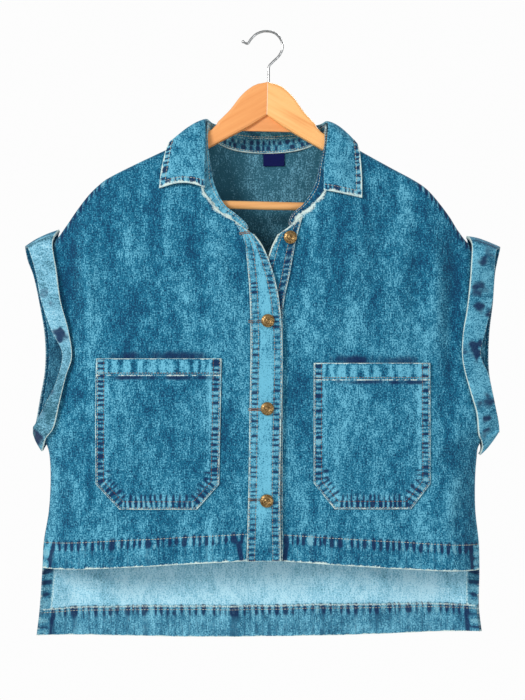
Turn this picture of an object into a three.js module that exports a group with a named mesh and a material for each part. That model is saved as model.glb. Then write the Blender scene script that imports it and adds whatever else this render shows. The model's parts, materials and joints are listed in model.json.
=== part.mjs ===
// A cropped denim vest with a spread collar, two patch pockets and turned-up sleeve bands, on a wooden
// hanger. Millimetres, +Z up, front towards -Y. The origin is the inside top of the hook's bend, where a
// rail carries it.
// "Right" and "left" are the wearer's: right is -X. "out" is the distance from the centre plane X = 0.
import * as THREE from "three";

// Cloth and seams
const WALL = 1.6; // one layer of denim
const SEAM_GAP = 0.3;
const LAY_GAP = 0.5; // between a panel and what lies on it
const HEM_TURN = 1.4; // what the turned-in hem adds to the wall
const PLACKET_WALL = 2.2;
const COLLAR_WALL = 2.4;
const STAND_WALL = 2;
const BAND_WALL = 3;
const POCKET_WALL = 1.6;
const POCKET_HEM_WALL = 2.6;
const POCKET_HEM_HEIGHT = 17;
const LABEL = { x: 9.8, width: 24.5, top: -135.5, height: 14, wall: 0.8 };

// How the cloth hangs
const ARM_HALF_SPREAD = 8.8; // half depth of the cloth just below the hanger arm's rounded top
const ARM_ROUND = 8; // drop over which the cloth rounds the arm's top
const NECK_SLOPE = 0.5; // the shoulder line carried on to the centre
const SIDE_ROUND = 50; // width over which a panel turns into its side seam
const SLEEVE_FLAT = 0.35; // share by which the sleeve is flatter than the chest
const UNDERLAP = 4.9; // how far the left front lies behind the right one at the centre
const V_UNDERARM = 0.36;
const STEEP_V = 0.85; // from here up a front's neckline is steep
const HEM_V = { front: 0.05, back: 0.044 }; // grid line where the hem's turning ends
const NECK_U = 0.36; // grid column of the back panel where the shoulder meets the neck

// Buttons
const BUTTON = { radius: 7.5, rim: 1.6, dome: 3.4, shank: 3 };
const BUTTONS = [
  { name: "button_1", x: 2.6, z: -329.3, on: "upper" },
  { name: "button_2", x: 2, z: -427.5, on: "upper" },
  { name: "button_3", x: 1.3, z: -530.2, on: "upper" },
  { name: "button_top", x: 27.8, z: -235.9, on: "under" },
];

// Hanger
const HANGER = {
  x: 2.5,
  top: -56.7,
  tilt: 0.024, // radians, right arm of the picture lower
  sweep: 0.07, // radians, each arm towards the front
  thick: 12,
  edge: 3,
};
const BAR = { radius: 4.7, half: 152, z: -198.5 };
const BLOCK = { half: 26.5, top: -97.1, bottom: -113, thick: 4 };
const HOOK = { wire: 2.8, sides: 8, steps: 44 };

const COLOURS = {
  denim: 0x3d7f9f,
  pale: 0x7fb0c2,
  label: 0x1d2a5e,
  brass: 0x8d7550,
  wood: 0xe9a45c,
  chrome: 0xb9bcbd,
};

// Shoulder line from the neck (u = 0) to the sleeve end (u = 1)
const SHOULDER = [
  { u: 0, rOut: 67, rZ: -112, lOut: 70, lZ: -114.5 },
  { u: 0.22, rOut: 112, rZ: -134.5, lOut: 110, lZ: -137.5 },
  { u: 0.38, rOut: 150, rZ: -153, lOut: 142, lZ: -155.5 },
  { u: 0.52, rOut: 179.5, rZ: -168.5, lOut: 168, lZ: -169.8 },
  { u: 0.59, rOut: 190, rZ: -176.5, lOut: 182, lZ: -179.5 },
  { u: 0.66, rOut: 200, rZ: -186, lOut: 194, lZ: -192 },
  { u: 0.76, rOut: 214, rZ: -203.5, lOut: 208.8, lZ: -211 },
  { u: 0.84, rOut: 226, rZ: -220.5, lOut: 218, lZ: -225.5 },
  { u: 0.91, rOut: 238.5, rZ: -236.5, lOut: 231, lZ: -241 },
  { u: 1, rOut: 262, rZ: -254, lOut: 255, lZ: -254 },
];
// Where front and back would meet at the side. Above the underarm they stay apart for the sleeve.
const SIDE = [
  { z: -690, rOut: 262.5, lOut: 248.7 },
  { z: -655, rOut: 258.3, lOut: 244.5 },
  { z: -612, rOut: 254.5, lOut: 244 },
  { z: -581, rOut: 252.8, lOut: 243.2 },
  { z: -545, rOut: 247, lOut: 239.3 },
  { z: -510, rOut: 245, lOut: 239 },
  { z: -484, rOut: 246, lOut: 240.8 },
  { z: -471, rOut: 249, lOut: 243 },
  { z: -462, rOut: 255, lOut: 250.5 },
  { z: -445, rOut: 272, lOut: 272 },
  { z: -400, rOut: 290, lOut: 288 },
  { z: -340, rOut: 292, lOut: 290 },
  { z: -290, rOut: 288, lOut: 286 },
  { z: -250, rOut: 278, lOut: 275 },
  { z: -200, rOut: 262, lOut: 262 },
];
// Height of a side seam at grid line v, from the hem to the underarm
const SEAM_HEIGHTS = {
  front: [
    { v: 0, rZ: -609.5, lZ: -611.5 },
    { v: 0.05, rZ: -580, lZ: -582 },
    { v: 0.15, rZ: -545, lZ: -546 },
    { v: 0.25, rZ: -510, lZ: -511 },
    { v: 0.32, rZ: -484, lZ: -484 },
    { v: V_UNDERARM, rZ: -462, lZ: -462 },
  ],
  back: [
    { v: 0, rZ: -688.5, lZ: -684 },
    { v: 0.044, rZ: -658.5, lZ: -653.5 },
    { v: 0.12, rZ: -611, lZ: -612 },
    { v: 0.2, rZ: -560, lZ: -560 },
    { v: 0.27, rZ: -516, lZ: -516 },
    { v: 0.33, rZ: -479, lZ: -479 },
    { v: V_UNDERARM, rZ: -462, lZ: -462 },
  ],
};
// The sleeve's end, inside the turned-up band, from the underarm to the shoulder line
const SLEEVE_END = {
  front: [
    { v: V_UNDERARM, rOut: 255, rZ: -462, lOut: 250.5, lZ: -462 },
    { v: 0.41, rOut: 253, rZ: -445, lOut: 254, lZ: -449 },
    { v: 0.47, rOut: 242.5, rZ: -423, lOut: 256, lZ: -432 },
    { v: 0.535, rOut: 230, rZ: -397, lOut: 251.5, lZ: -414 },
    { v: 0.6, rOut: 224, rZ: -367, lOut: 245.5, lZ: -389 },
    { v: 0.69, rOut: 236, rZ: -341, lOut: 237, lZ: -367 },
    { v: 0.78, rOut: 248.5, rZ: -306, lOut: 243, lZ: -340 },
    { v: 0.86, rOut: 255, rZ: -279, lOut: 252, lZ: -305 },
    { v: 0.94, rOut: 260, rZ: -262, lOut: 255.5, lZ: -270 },
    { v: 1, rOut: 262, rZ: -254, lOut: 255, lZ: -254 },
  ],
  back: [
    { v: V_UNDERARM, rOut: 255, rZ: -462, lOut: 250.5, lZ: -462 },
    { v: 0.41, rOut: 257, rZ: -440, lOut: 261, lZ: -446 },
    { v: 0.5, rOut: 255, rZ: -418, lOut: 259, lZ: -421 },
    { v: 0.6, rOut: 249.5, rZ: -383, lOut: 253, lZ: -384 },
    { v: 0.7, rOut: 250, rZ: -345, lOut: 253.5, lZ: -344 },
    { v: 0.8, rOut: 256.5, rZ: -305, lOut: 257.5, lZ: -308 },
    { v: 0.9, rOut: 262, rZ: -274, lOut: 259, lZ: -274 },
    { v: 1, rOut: 262, rZ: -254, lOut: 255, lZ: -254 },
  ],
};
// Centre edge of a front, up to the placket's top, then its neckline to the shoulder
const CENTRE_EDGE = [
  { v: 0, rOut: 16.5, rZ: -597.5, lOut: 10, lZ: -598 },
  { v: 0.05, rOut: 16.5, rZ: -567, lOut: 10, lZ: -568 },
  { v: 0.2, rOut: 11, rZ: -480, lOut: 10.5, lZ: -480 },
  { v: 0.35, rOut: 8.5, rZ: -395, lOut: 10.5, lZ: -395 },
  { v: 0.45, rOut: 8, rZ: -335, lOut: 11, lZ: -335 },
  { v: 0.53, rOut: 11, rZ: -280, lOut: 16, lZ: -285 },
  { v: 0.6, rOut: 21, rZ: -228, lOut: 29, lZ: -226, corner: true },
  { v: 0.66, rOut: 37, rZ: -215, lOut: 36.5, lZ: -211.5 },
  { v: 0.72, rOut: 53, rZ: -204.5, lOut: 50, lZ: -201.5 },
  { v: 0.78, rOut: 69, rZ: -184, lOut: 66, lZ: -184, corner: true },
  { v: 0.86, rOut: 72.5, rZ: -158, lOut: 68, lZ: -160 },
  { v: 0.93, rOut: 71, rZ: -135, lOut: 69.5, lZ: -136 },
  { v: 1, rOut: 67, rZ: -112, lOut: 70, lZ: -114.5 },
];
const FRONT_HEM_DIP = 3; // the front hem lies this much lower half way out than its straight line
const BACK_HEM_DIP = 6;
const BACK_NECK = [
  { u: NECK_U, x: -67, z: -112, corner: true },
  { u: 0.375, x: -65.5, z: -116.5 },
  { u: 0.39, x: -60, z: -124 },
  { u: 0.44, x: -35, z: -131 },
  { u: 0.5, x: 0, z: -133 },
  { u: 0.56, x: 36, z: -131.5 },
  { u: 0.61, x: 62, z: -126 },
  { u: 0.625, x: 68.3, z: -119 },
  { u: 1 - NECK_U, x: 70, z: -114.5, corner: true },
];
// Greatest distance of the cloth from the middle plane
const DEPTHS = [
  { z: -690, front: 38, back: 23 },
  { z: -600, front: 37, back: 23 },
  { z: -450, front: 35, back: 24 },
  { z: -300, front: 33, back: 27 },
  { z: -183, front: 31, back: 32 },
  { z: -100, front: 30, back: 36 },
];
// The middle plane bends with the hanger arms and back again over the sleeve
const MIDDLE = [
  { out: 0, y: 0 },
  { out: 180, y: -12.6, corner: true },
  { out: 220, y: -5 },
  { out: 265, y: 5 },
];
// Main folds: a trough (depth below 0) or ridge along a line, of a given half width
const FOLDS = {
  front: [
    { x1: -221, z1: -232, x2: -222, z2: -420, half: 12, depth: -8 },
    { x1: -203, z1: -215, x2: -200, z2: -345, half: 11, depth: 4 },
    { x1: -232, z1: -490, x2: -208, z2: -462, half: 20, depth: -3 },
    { x1: -80, z1: -215, x2: -30, z2: -400, half: 24, depth: 2.5 },
    { x1: -120, z1: -560, x2: -135, z2: -600, half: 20, depth: 3 },
    { x1: 212, z1: -245, x2: 208, z2: -420, half: 12, depth: -7 },
    { x1: 192, z1: -225, x2: 190, z2: -350, half: 12, depth: 4 },
    { x1: 228, z1: -494, x2: 205, z2: -466, half: 20, depth: -3 },
    { x1: 70, z1: -230, x2: 45, z2: -400, half: 24, depth: 2.5 },
    { x1: 120, z1: -560, x2: 130, z2: -600, half: 20, depth: 3 },
  ],
  back: [
    { x1: -150, z1: -230, x2: -165, z2: -560, half: 26, depth: 4 },
    { x1: -70, z1: -320, x2: -85, z2: -690, half: 24, depth: -4 },
    { x1: 10, z1: -260, x2: 5, z2: -690, half: 30, depth: 4 },
    { x1: 95, z1: -320, x2: 85, z2: -690, half: 24, depth: -4 },
    { x1: 150, z1: -230, x2: 170, z2: -560, half: 26, depth: 4 },
  ],
};
const PLACKETS = {
  upper: [
    { t: 0, inX: -21, inZ: -598, outX: 16.8, outZ: -597.5 },
    { t: 0.2, inX: -19, inZ: -520, outX: 16.2, outZ: -520 },
    { t: 0.4, inX: -18, inZ: -445, outX: 17.3, outZ: -445 },
    { t: 0.6, inX: -16.5, inZ: -365, outX: 18.8, outZ: -365 },
    { t: 0.73, inX: -17, inZ: -315, outX: 15.8, outZ: -312 },
    { t: 0.84, inX: -19.5, inZ: -275, outX: 8.5, outZ: -276 },
    { t: 0.93, inX: -24, inZ: -240, outX: -2, outZ: -248 },
    { t: 1, inX: -33, inZ: -219.5, outX: -13, outZ: -233 },
  ],
  under: [
    { t: 0, inX: -15, inZ: -597, outX: 19, outZ: -597 },
    { t: 0.2, inX: -15, inZ: -520, outX: 19, outZ: -520 },
    { t: 0.4, inX: -15, inZ: -445, outX: 19, outZ: -445 },
    { t: 0.6, inX: -14.5, inZ: -365, outX: 19, outZ: -365 },
    { t: 0.73, inX: -11, inZ: -318, outX: 20, outZ: -312 },
    { t: 0.84, inX: -3, inZ: -281, outX: 27, outZ: -277 },
    { t: 0.93, inX: 6, inZ: -249, outX: 34, outZ: -239 },
    { t: 1, inX: 14, inZ: -233, outX: 41, outZ: -213 },
  ],
};
const POCKETS = {
  pocket_right: [
    { z: -371.5, inX: -49.6, outX: -189.6 },
    { z: -428, inX: -50.3, outX: -190.4 },
    { z: -512, inX: -52, outX: -189.6, corner: true },
    { z: -540, inX: -76.7, outX: -163 },
  ],
  pocket_left: [
    { z: -376.5, inX: 54, outX: 184.3 },
    { z: -430, inX: 54, outX: 184.3 },
    { z: -511, inX: 54, outX: 184.3, corner: true },
    { z: -539.5, inX: 77, outX: 162.5 },
  ],
};
// Top edge of the stand, from the right front round the back to the left front
const STAND_TOP = [
  { edge: "right", v: 0.6, x: -14.5, y: -28, z: -225 },
  { edge: "right", v: 0.66, x: -32, y: -26.5, z: -210 },
  { edge: "right", v: 0.72, x: -47, y: -25, z: -197 },
  { edge: "right", v: 0.78, x: -58, y: -22, z: -174 },
  { edge: "right", v: 0.85, x: -62, y: -19, z: -152 },
  { edge: "right", v: 0.91, x: -65, y: -17, z: -130 },
  { edge: "right", v: 0.95, x: -66, y: -14.5, z: -115 },
  { edge: "right", v: 0.975, x: -66.5, y: -12, z: -108 },
  { edge: "right", v: 0.99, x: -66.5, y: -8.5, z: -104.5 },
  { edge: "neck", u: NECK_U, x: -66, y: -4, z: -103 },
  { edge: "neck", u: 0.375, x: -63.5, y: 8, z: -103.5 },
  { edge: "neck", u: 0.39, x: -57, y: 19, z: -105.5 },
  { edge: "neck", u: 0.44, x: -32, y: 29.5, z: -108 },
  { edge: "neck", u: 0.5, x: 0, y: 34, z: -109 },
  { edge: "neck", u: 0.56, x: 34, y: 29.5, z: -108 },
  { edge: "neck", u: 0.61, x: 59, y: 19, z: -106 },
  { edge: "neck", u: 0.625, x: 66, y: 8, z: -104.5 },
  { edge: "neck", u: 1 - NECK_U, x: 69, y: -4, z: -105.5 },
  { edge: "left", v: 0.99, x: 69.5, y: -8.5, z: -107 },
  { edge: "left", v: 0.975, x: 69.5, y: -12, z: -110.5 },
  { edge: "left", v: 0.95, x: 68.5, y: -14.5, z: -118 },
  { edge: "left", v: 0.91, x: 66, y: -17, z: -132 },
  { edge: "left", v: 0.85, x: 61, y: -19, z: -153 },
  { edge: "left", v: 0.78, x: 56, y: -22, z: -175 },
  { edge: "left", v: 0.72, x: 44, y: -25, z: -196 },
  { edge: "left", v: 0.66, x: 31, y: -26.5, z: -208 },
  { edge: "left", v: 0.6, x: 22, y: -28, z: -222 },
];
// The leaf, from its right front end round the back to its left front end: roll line, then free edge
const LEAF = [
  { rollX: -67.5, rollY: -33.5, rollZ: -180, freeX: -119.5, freeY: -27, freeZ: -180 },
  { rollX: -67.5, rollY: -30, rollZ: -155, freeX: -117.5, freeY: -23, freeZ: -160 },
  { rollX: -67, rollY: -20, rollZ: -124, freeX: -114, freeY: -19.5, freeZ: -142 },
  { rollX: -67.5, rollY: -15.5, rollZ: -107, freeX: -111.5, freeY: -17, freeZ: -133 },
  { rollX: -66.5, rollY: -3, rollZ: -99, freeX: -107, freeY: -8, freeZ: -126.5 },
  { rollX: -58, rollY: 21, rollZ: -101.5, freeX: -92, freeY: 19.5, freeZ: -142 },
  { rollX: -32, rollY: 32.8, rollZ: -104.5, freeX: -48, freeY: 33, freeZ: -153 },
  { rollX: 0, rollY: 37, rollZ: -105.5, freeX: 0, freeY: 38, freeZ: -156 },
  { rollX: 34, rollY: 32.8, rollZ: -104.5, freeX: 50, freeY: 33, freeZ: -153 },
  { rollX: 60.5, rollY: 21, rollZ: -102.5, freeX: 92, freeY: 19.5, freeZ: -143 },
  { rollX: 69.5, rollY: -3, rollZ: -101.5, freeX: 102, freeY: -8, freeZ: -127 },
  { rollX: 70.5, rollY: -15.5, rollZ: -109.5, freeX: 105.5, freeY: -17, freeZ: -134 },
  { rollX: 69, rollY: -20, rollZ: -126, freeX: 107, freeY: -19.5, freeZ: -144 },
  { rollX: 65.5, rollY: -30, rollZ: -157, freeX: 108.5, freeY: -24, freeZ: -167 },
  { rollX: 65, rollY: -33.5, rollZ: -183, freeX: 108.4, freeY: -28, freeZ: -191 },
];
const LEAF_BOW = 3.5;
const LEAF_GAP = 1.3;
const FOOT_INSET = 0.9; // the stand's foot beside the steep part of a neckline
// Turned-up sleeve bands. side: -1 lies on the front, 1 on the back, 0 uses y. The fold and the free edge
// are given by out and z.
const BANDS = {
  cuff_right: [
    { side: 0, y: 1, fold: 265, foldZ: -457.5, free: 255, freeZ: -477.5 },
    { side: -1, fold: 264, foldZ: -453, free: 252.5, freeZ: -471.5 },
    { side: -1, fold: 262.5, foldZ: -448.5, free: 248, freeZ: -462 },
    { side: -1, fold: 258.5, foldZ: -443, free: 238, freeZ: -449 },
    { side: -1, fold: 247.5, foldZ: -422, free: 231, freeZ: -421 },
    { side: -1, fold: 235, foldZ: -397, free: 224, freeZ: -391 },
    { side: -1, fold: 229, foldZ: -367, free: 217.5, freeZ: -369 },
    { side: -1, fold: 241, foldZ: -340, free: 222, freeZ: -339.5 },
    { side: -1, fold: 253.6, foldZ: -306, free: 231, freeZ: -306 },
    { side: -1, fold: 260, foldZ: -277, free: 236, freeZ: -274 },
    { side: 0, y: -13, fold: 268, foldZ: -249, free: 241, freeZ: -240.5 },
    { side: 0, y: 6, fold: 275, foldZ: -243.5, free: 249, freeZ: -229.5 },
    { side: 1, fold: 272.5, foldZ: -260, free: 247, freeZ: -256 },
    { side: 1, fold: 267, foldZ: -277, free: 242, freeZ: -277 },
    { side: 1, fold: 261, foldZ: -306, free: 236, freeZ: -306 },
    { side: 1, fold: 254.5, foldZ: -345, free: 230, freeZ: -345 },
    { side: 1, fold: 254, foldZ: -383, free: 229, freeZ: -383 },
    { side: 1, fold: 259.5, foldZ: -418, free: 236, freeZ: -422 },
    { side: 1, fold: 263, foldZ: -441, free: 243, freeZ: -452 },
    { side: 1, fold: 264.5, foldZ: -450, free: 249, freeZ: -467 },
  ],
  cuff_left: [
    { side: 0, y: -1, fold: 260, foldZ: -463.5, free: 244.5, freeZ: -482 },
    { side: 0, y: -8, fold: 262.5, foldZ: -459.5, free: 246.5, freeZ: -474 },
    { side: 0, y: -16, fold: 264, foldZ: -454, free: 244, freeZ: -465 },
    { side: -1, fold: 264.5, foldZ: -449, free: 240, freeZ: -456 },
    { side: -1, fold: 261, foldZ: -433, free: 237, freeZ: -433 },
    { side: -1, fold: 256.5, foldZ: -414, free: 231.5, freeZ: -414 },
    { side: -1, fold: 250.5, foldZ: -389, free: 224.2, freeZ: -389 },
    { side: -1, fold: 242, foldZ: -367, free: 221, freeZ: -369 },
    { side: -1, fold: 248, foldZ: -340, free: 222, freeZ: -344 },
    { side: -1, fold: 257, foldZ: -305, free: 228.5, freeZ: -306 },
    { side: -1, fold: 260.5, foldZ: -270, free: 232, freeZ: -270 },
    { side: 0, y: -13, fold: 261.5, foldZ: -250, free: 233.5, freeZ: -242 },
    { side: 0, y: 6, fold: 268.5, foldZ: -245, free: 243, freeZ: -233.5 },
    { side: 1, fold: 266, foldZ: -260, free: 241, freeZ: -258 },
    { side: 1, fold: 264, foldZ: -276, free: 239, freeZ: -276 },
    { side: 1, fold: 262, foldZ: -308, free: 237, freeZ: -308 },
    { side: 1, fold: 258, foldZ: -344, free: 233, freeZ: -344 },
    { side: 1, fold: 257.5, foldZ: -384, free: 233, freeZ: -384 },
    { side: 1, fold: 263, foldZ: -421, free: 239, freeZ: -424 },
    { side: 1, fold: 266, foldZ: -446, free: 245, freeZ: -459 },
    { side: 1, fold: 264.5, foldZ: -456, free: 246.5, freeZ: -474 },
  ],
};
const FOLD_LIFT = BAND_WALL + 1; // the band's outer face over the sleeve, at its fold
const FREE_LIFT = BAND_WALL + 3;
const BAND_BOW = 1.5;

// One hanger arm, from the mitre at out = 0: upper and lower outline, before the hanger's tilt
const ARM_TOP = [
  { out: -3, z: 0 },
  { out: 12, z: -3 },
  { out: 22.5, z: -9.7 },
  { out: 31.5, z: -18.8 },
  { out: 40.5, z: -31.5 },
  { out: 48, z: -39.8 },
  { out: 56, z: -48 },
  { out: 69.5, z: -61 },
  { out: 165, z: -113 },
  { out: 175, z: -120 },
  { out: 179, z: -129 },
];
const ARM_END = [
  { out: 180, z: -138 },
  { out: 173, z: -147 },
  { out: 162, z: -150 },
  { out: 153.5, z: -146 },
  { out: 152.5, z: -132 },
  { out: 145, z: -123 },
];
const ARM_BOTTOM = [
  { out: 63.5, z: -76.5 },
  { out: 20, z: -52 },
  { out: -3, z: -38.2 },
];
// The hook's wire, from the stem's foot up and round to its tip
const HOOK_ROUTE = [
  { x: 3.6, z: -56.2 },
  { x: 3.6, z: -47 },
  { x: 4, z: -39 },
  { x: 8.5, z: -33.5 },
  { x: 15.5, z: -26.5 },
  { x: 19.4, z: -17.7 },
  { x: 17.6, z: -8.2 },
  { x: 10.6, z: -0.8 },
  { x: 0.3, z: 1.4 },
  { x: -9.4, z: -1.2 },
  { x: -16.2, z: -7.2 },
  { x: -20.4, z: -12.6 },
  { x: -25.4, z: -10.6 },
];

const SIDES = {
  right: { sign: -1, out: "rOut", z: "rZ" },
  left: { sign: 1, out: "lOut", z: "lZ" },
};
const sideOf = (x) => (x < 0 ? SIDES.right : SIDES.left);
const clamp01 = (t) => Math.min(1, Math.max(0, t));
const mix = (a, b, t) => a + (b - a) * t;
const ease = (t) => clamp01(t) ** 2 * (3 - 2 * clamp01(t));
const quarterRound = (t) => Math.sqrt(1 - (1 - clamp01(t)) ** 2);

// The slope of a table's column at row i: one-sided at its ends.
function slopeAt(rows, i, key, value) {
  const before = rows[Math.max(0, i - 1)];
  const after = rows[Math.min(rows.length - 1, i + 1)];
  return (after[value] - before[value]) / (after[key] - before[key]);
}

// A column's value at a place, on a smooth curve through the table's rows that breaks at a corner row.
function along(rows, key, place, value) {
  const last = rows.length - 2;
  let i = rows.findIndex((row, n) => n > 0 && place <= row[key]) - 1;
  if (i < 0) i = place <= rows[0][key] ? 0 : last;
  const a = rows[i];
  const b = rows[i + 1];
  const span = b[key] - a[key];
  const t = (place - a[key]) / span;
  const chord = (b[value] - a[value]) / span;
  if (t < 0 || t > 1) return a[value] + chord * (place - a[key]);
  const slopeA = a.corner ? chord : slopeAt(rows, i, key, value);
  const slopeB = b.corner ? chord : slopeAt(rows, i + 1, key, value);
  const bend = (1 - t) * (slopeA - chord) - t * (slopeB - chord);
  return mix(a[value], b[value], t) + t * (1 - t) * span * bend;
}

function shoulderZ(x) {
  const { out, z } = sideOf(x);
  const first = SHOULDER[0];
  if (Math.abs(x) < first[out]) return first[z] + (first[out] - Math.abs(x)) * NECK_SLOPE;
  return along(SHOULDER, out, Math.abs(x), z);
}

// The smaller of two lengths, blended where they are alike.
const softLeast = (a, b) => (a <= 0 ? 0 : (a ** -4 + b ** -4) ** -0.25);

function foldHeight(face, x, z) {
  let height = 0;
  for (const fold of FOLDS[face]) {
    const dx = fold.x2 - fold.x1;
    const dz = fold.z2 - fold.z1;
    const place = ((x - fold.x1) * dx + (z - fold.z1) * dz) / (dx * dx + dz * dz);
    const near = clamp01(place);
    const far = Math.hypot(x - fold.x1 - near * dx, z - fold.z1 - near * dz);
    const fade = 0.3 + 0.7 * Math.sin(Math.PI * near);
    height += fold.depth * fade * Math.exp(-((far / fold.half) ** 2));
  }
  return height;
}

function middleY(x, z) {
  const drop = Math.max(0, shoulderZ(x) - z);
  return along(MIDDLE, "out", Math.abs(x), "y") * (1 - ease(drop / 160));
}

// Depth of the cloth's outer face at (x, z): face "front" is towards -Y, "back" towards +Y.
function clothY(face, x, z) {
  const out = Math.abs(x);
  const drop = Math.max(0, shoulderZ(x) - z);
  const inward = along(SIDE, "z", z, sideOf(x).out) - out;
  const front = face === "front";
  const spread = front
    ? mix(0.34, 0.14, ease((out - 60) / 140))
    : mix(0.55, 0.12, ease(out / 120));
  const flat = 1 - SLEEVE_FLAT * ease((out - 200) / 60);
  const most = along(DEPTHS, "z", z, face) * flat;
  const fall = ARM_HALF_SPREAD * quarterRound(drop / ARM_ROUND) + spread * Math.max(0, drop - ARM_ROUND);
  const tail = front ? 0 : 0.6 * ease((-605 - z) / 70);
  const turn = mix(quarterRound(inward / SIDE_ROUND), 1, tail);
  const folds = foldHeight(face, x, z) * turn * ease(drop / 30);
  const half = SEAM_GAP / 2 + softLeast(fall, most) * turn + folds;
  return middleY(x, z) + (front ? -half : half);
}

// The left front lies behind the right one near the centre, below the open neck.
function underlap(x, z) {
  return UNDERLAP * (1 - ease((x - 34) / 50)) * ease((-225 - z) / 55);
}

function frontY(side, x, z) {
  return clothY("front", x, z) + (side === "left" ? underlap(x, z) : 0);
}

// A point of a side edge: the closed seam below the underarm, the sleeve's end above it.
function sideEdge(face, side, v) {
  const { sign, out, z } = SIDES[side];
  if (v <= V_UNDERARM) {
    const height = along(SEAM_HEIGHTS[face], "v", v, z);
    return { x: sign * along(SIDE, "z", height, out), z: height };
  }
  const rows = SLEEVE_END[face];
  return { x: sign * along(rows, "v", v, out), z: along(rows, "v", v, z) };
}

function centreEdge(side, v) {
  const { sign, out, z } = SIDES[side];
  return { x: sign * along(CENTRE_EDGE, "v", v, out), z: along(CENTRE_EDGE, "v", v, z) };
}

function shoulderEdge(side, u) {
  const { sign, out, z } = SIDES[side];
  return { x: sign * along(SHOULDER, "u", u, out), z: along(SHOULDER, "u", u, z) };
}

// The top edge of the back: right shoulder, neck, left shoulder.
function backTop(u) {
  if (u <= NECK_U) return shoulderEdge("right", 1 - u / NECK_U);
  if (u >= 1 - NECK_U) return shoulderEdge("left", 1 - (1 - u) / NECK_U);
  return { x: along(BACK_NECK, "u", u, "x"), z: along(BACK_NECK, "u", u, "z") };
}

// A straight hem between two points, hanging lower towards its middle.
function hem(from, to, dip) {
  return (u) => ({ x: mix(from.x, to.x, u), z: mix(from.z, to.z, u) - dip * Math.sin(Math.PI * u) });
}

// A place inside four edges, blended from them.
function inside(edges, u, v) {
  const { bottom, top, start, end } = edges;
  const point = {};
  for (const axis of ["x", "z"]) {
    const across = mix(start(v)[axis], end(v)[axis], u);
    const up = mix(bottom(u)[axis], top(u)[axis], v);
    const low = mix(bottom(0)[axis], bottom(1)[axis], u);
    const high = mix(top(0)[axis], top(1)[axis], u);
    point[axis] = across + up - mix(low, high, v);
  }
  return point;
}

// Unit normals of a grid of points. seam(i, j) says where cloth meets cloth: there the normal stays in XZ.
function gridNormals(grid, outward, seam, closed) {
  const rows = grid.length;
  return grid.map((row, j) =>
    row.map((_, i) => {
      const left = closed ? (i + row.length - 1) % row.length : Math.max(0, i - 1);
      const right = closed ? (i + 1) % row.length : Math.min(row.length - 1, i + 1);
      const below = grid[Math.max(0, j - 1)][i];
      const above = grid[Math.min(rows - 1, j + 1)][i];
      const across = row[right].clone().sub(row[left]);
      const normal = across.cross(above.clone().sub(below)).multiplyScalar(outward);
      if (seam && seam(i, j)) normal.y = 0;
      return normal.normalize();
    }),
  );
}

// A closed wall between a grid of outer points and the same points moved in along the normals.
function wall(grid, { thick, outward = 1, seam = null, closed = false }) {
  const normals = gridNormals(grid, outward, seam, closed);
  const rows = grid.length;
  const columns = grid[0].length;
  const count = rows * columns;
  const positions = [];
  for (const row of grid) for (const point of row) positions.push(point.x, point.y, point.z);
  for (let j = 0; j < rows; j += 1)
    for (let i = 0; i < columns; i += 1) {
      const depth = typeof thick === "function" ? thick(i, j) : thick;
      const point = grid[j][i].clone().addScaledVector(normals[j][i], -depth);
      positions.push(point.x, point.y, point.z);
    }
  const index = [];
  const quad = (a, b, c, d) => {
    if (outward > 0) index.push(a, b, c, a, c, d);
    else index.push(a, c, b, a, d, c);
  };
  const at = (i, j) => j * columns + (i % columns);
  const lastColumn = closed ? columns : columns - 1;
  for (let j = 0; j < rows - 1; j += 1)
    for (let i = 0; i < lastColumn; i += 1) {
      quad(at(i, j), at(i + 1, j), at(i + 1, j + 1), at(i, j + 1));
      quad(count + at(i, j), count + at(i, j + 1), count + at(i + 1, j + 1), count + at(i + 1, j));
    }
  for (let i = 0; i < lastColumn; i += 1) {
    quad(at(i, 0), count + at(i, 0), count + at(i + 1, 0), at(i + 1, 0));
    quad(at(i + 1, rows - 1), count + at(i + 1, rows - 1), count + at(i, rows - 1), at(i, rows - 1));
  }
  if (!closed)
    for (let j = 0; j < rows - 1; j += 1) {
      quad(at(0, j + 1), count + at(0, j + 1), count + at(0, j), at(0, j));
      const i = columns - 1;
      quad(at(i, j), count + at(i, j), count + at(i, j + 1), at(i, j + 1));
    }
  const geometry = new THREE.BufferGeometry();
  geometry.setAttribute("position", new THREE.Float32BufferAttribute(positions, 3));
  geometry.setIndex(index);
  geometry.computeVertexNormals();
  return geometry;
}

// Grid lines: closer together towards the side seam and the shoulder, where the cloth turns
const COLUMNS = [0, 0.08, 0.18, 0.29, 0.4, 0.51, 0.61, 0.7, 0.79, 0.86, 0.92, 0.96, 0.985, 1];
const NECK_COLUMNS = [0.367, 0.375, 0.39, 0.415, 0.44, 0.47, 0.5, 0.53, 0.56, 0.585, 0.61, 0.625, 0.633];
const FRONT_ROWS = [
  0, 0.049, 0.052, 0.11, 0.18, 0.25, 0.32, V_UNDERARM, 0.41, 0.47, 0.535, 0.568, 0.6, 0.66, 0.72, 0.78, 0.85,
  0.91, 0.95, 0.975, 0.99, 0.997, 1,
];
const BACK_ROWS = [
  0, 0.043, 0.046, 0.085, 0.12, 0.17, 0.22, 0.27, 0.33, V_UNDERARM, 0.41, 0.47, 0.54, 0.61, 0.69, 0.77,
  0.84, 0.9, 0.94, 0.97, 0.985, 0.993, 0.998, 1,
];
const BACK_COLUMNS = [
  ...COLUMNS.map((u) => NECK_U * (1 - u)).reverse(),
  ...NECK_COLUMNS,
  ...COLUMNS.map((u) => 1 - NECK_U * (1 - u)),
];

const vector = (x, y, z) => new THREE.Vector3(x, y, z);

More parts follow.
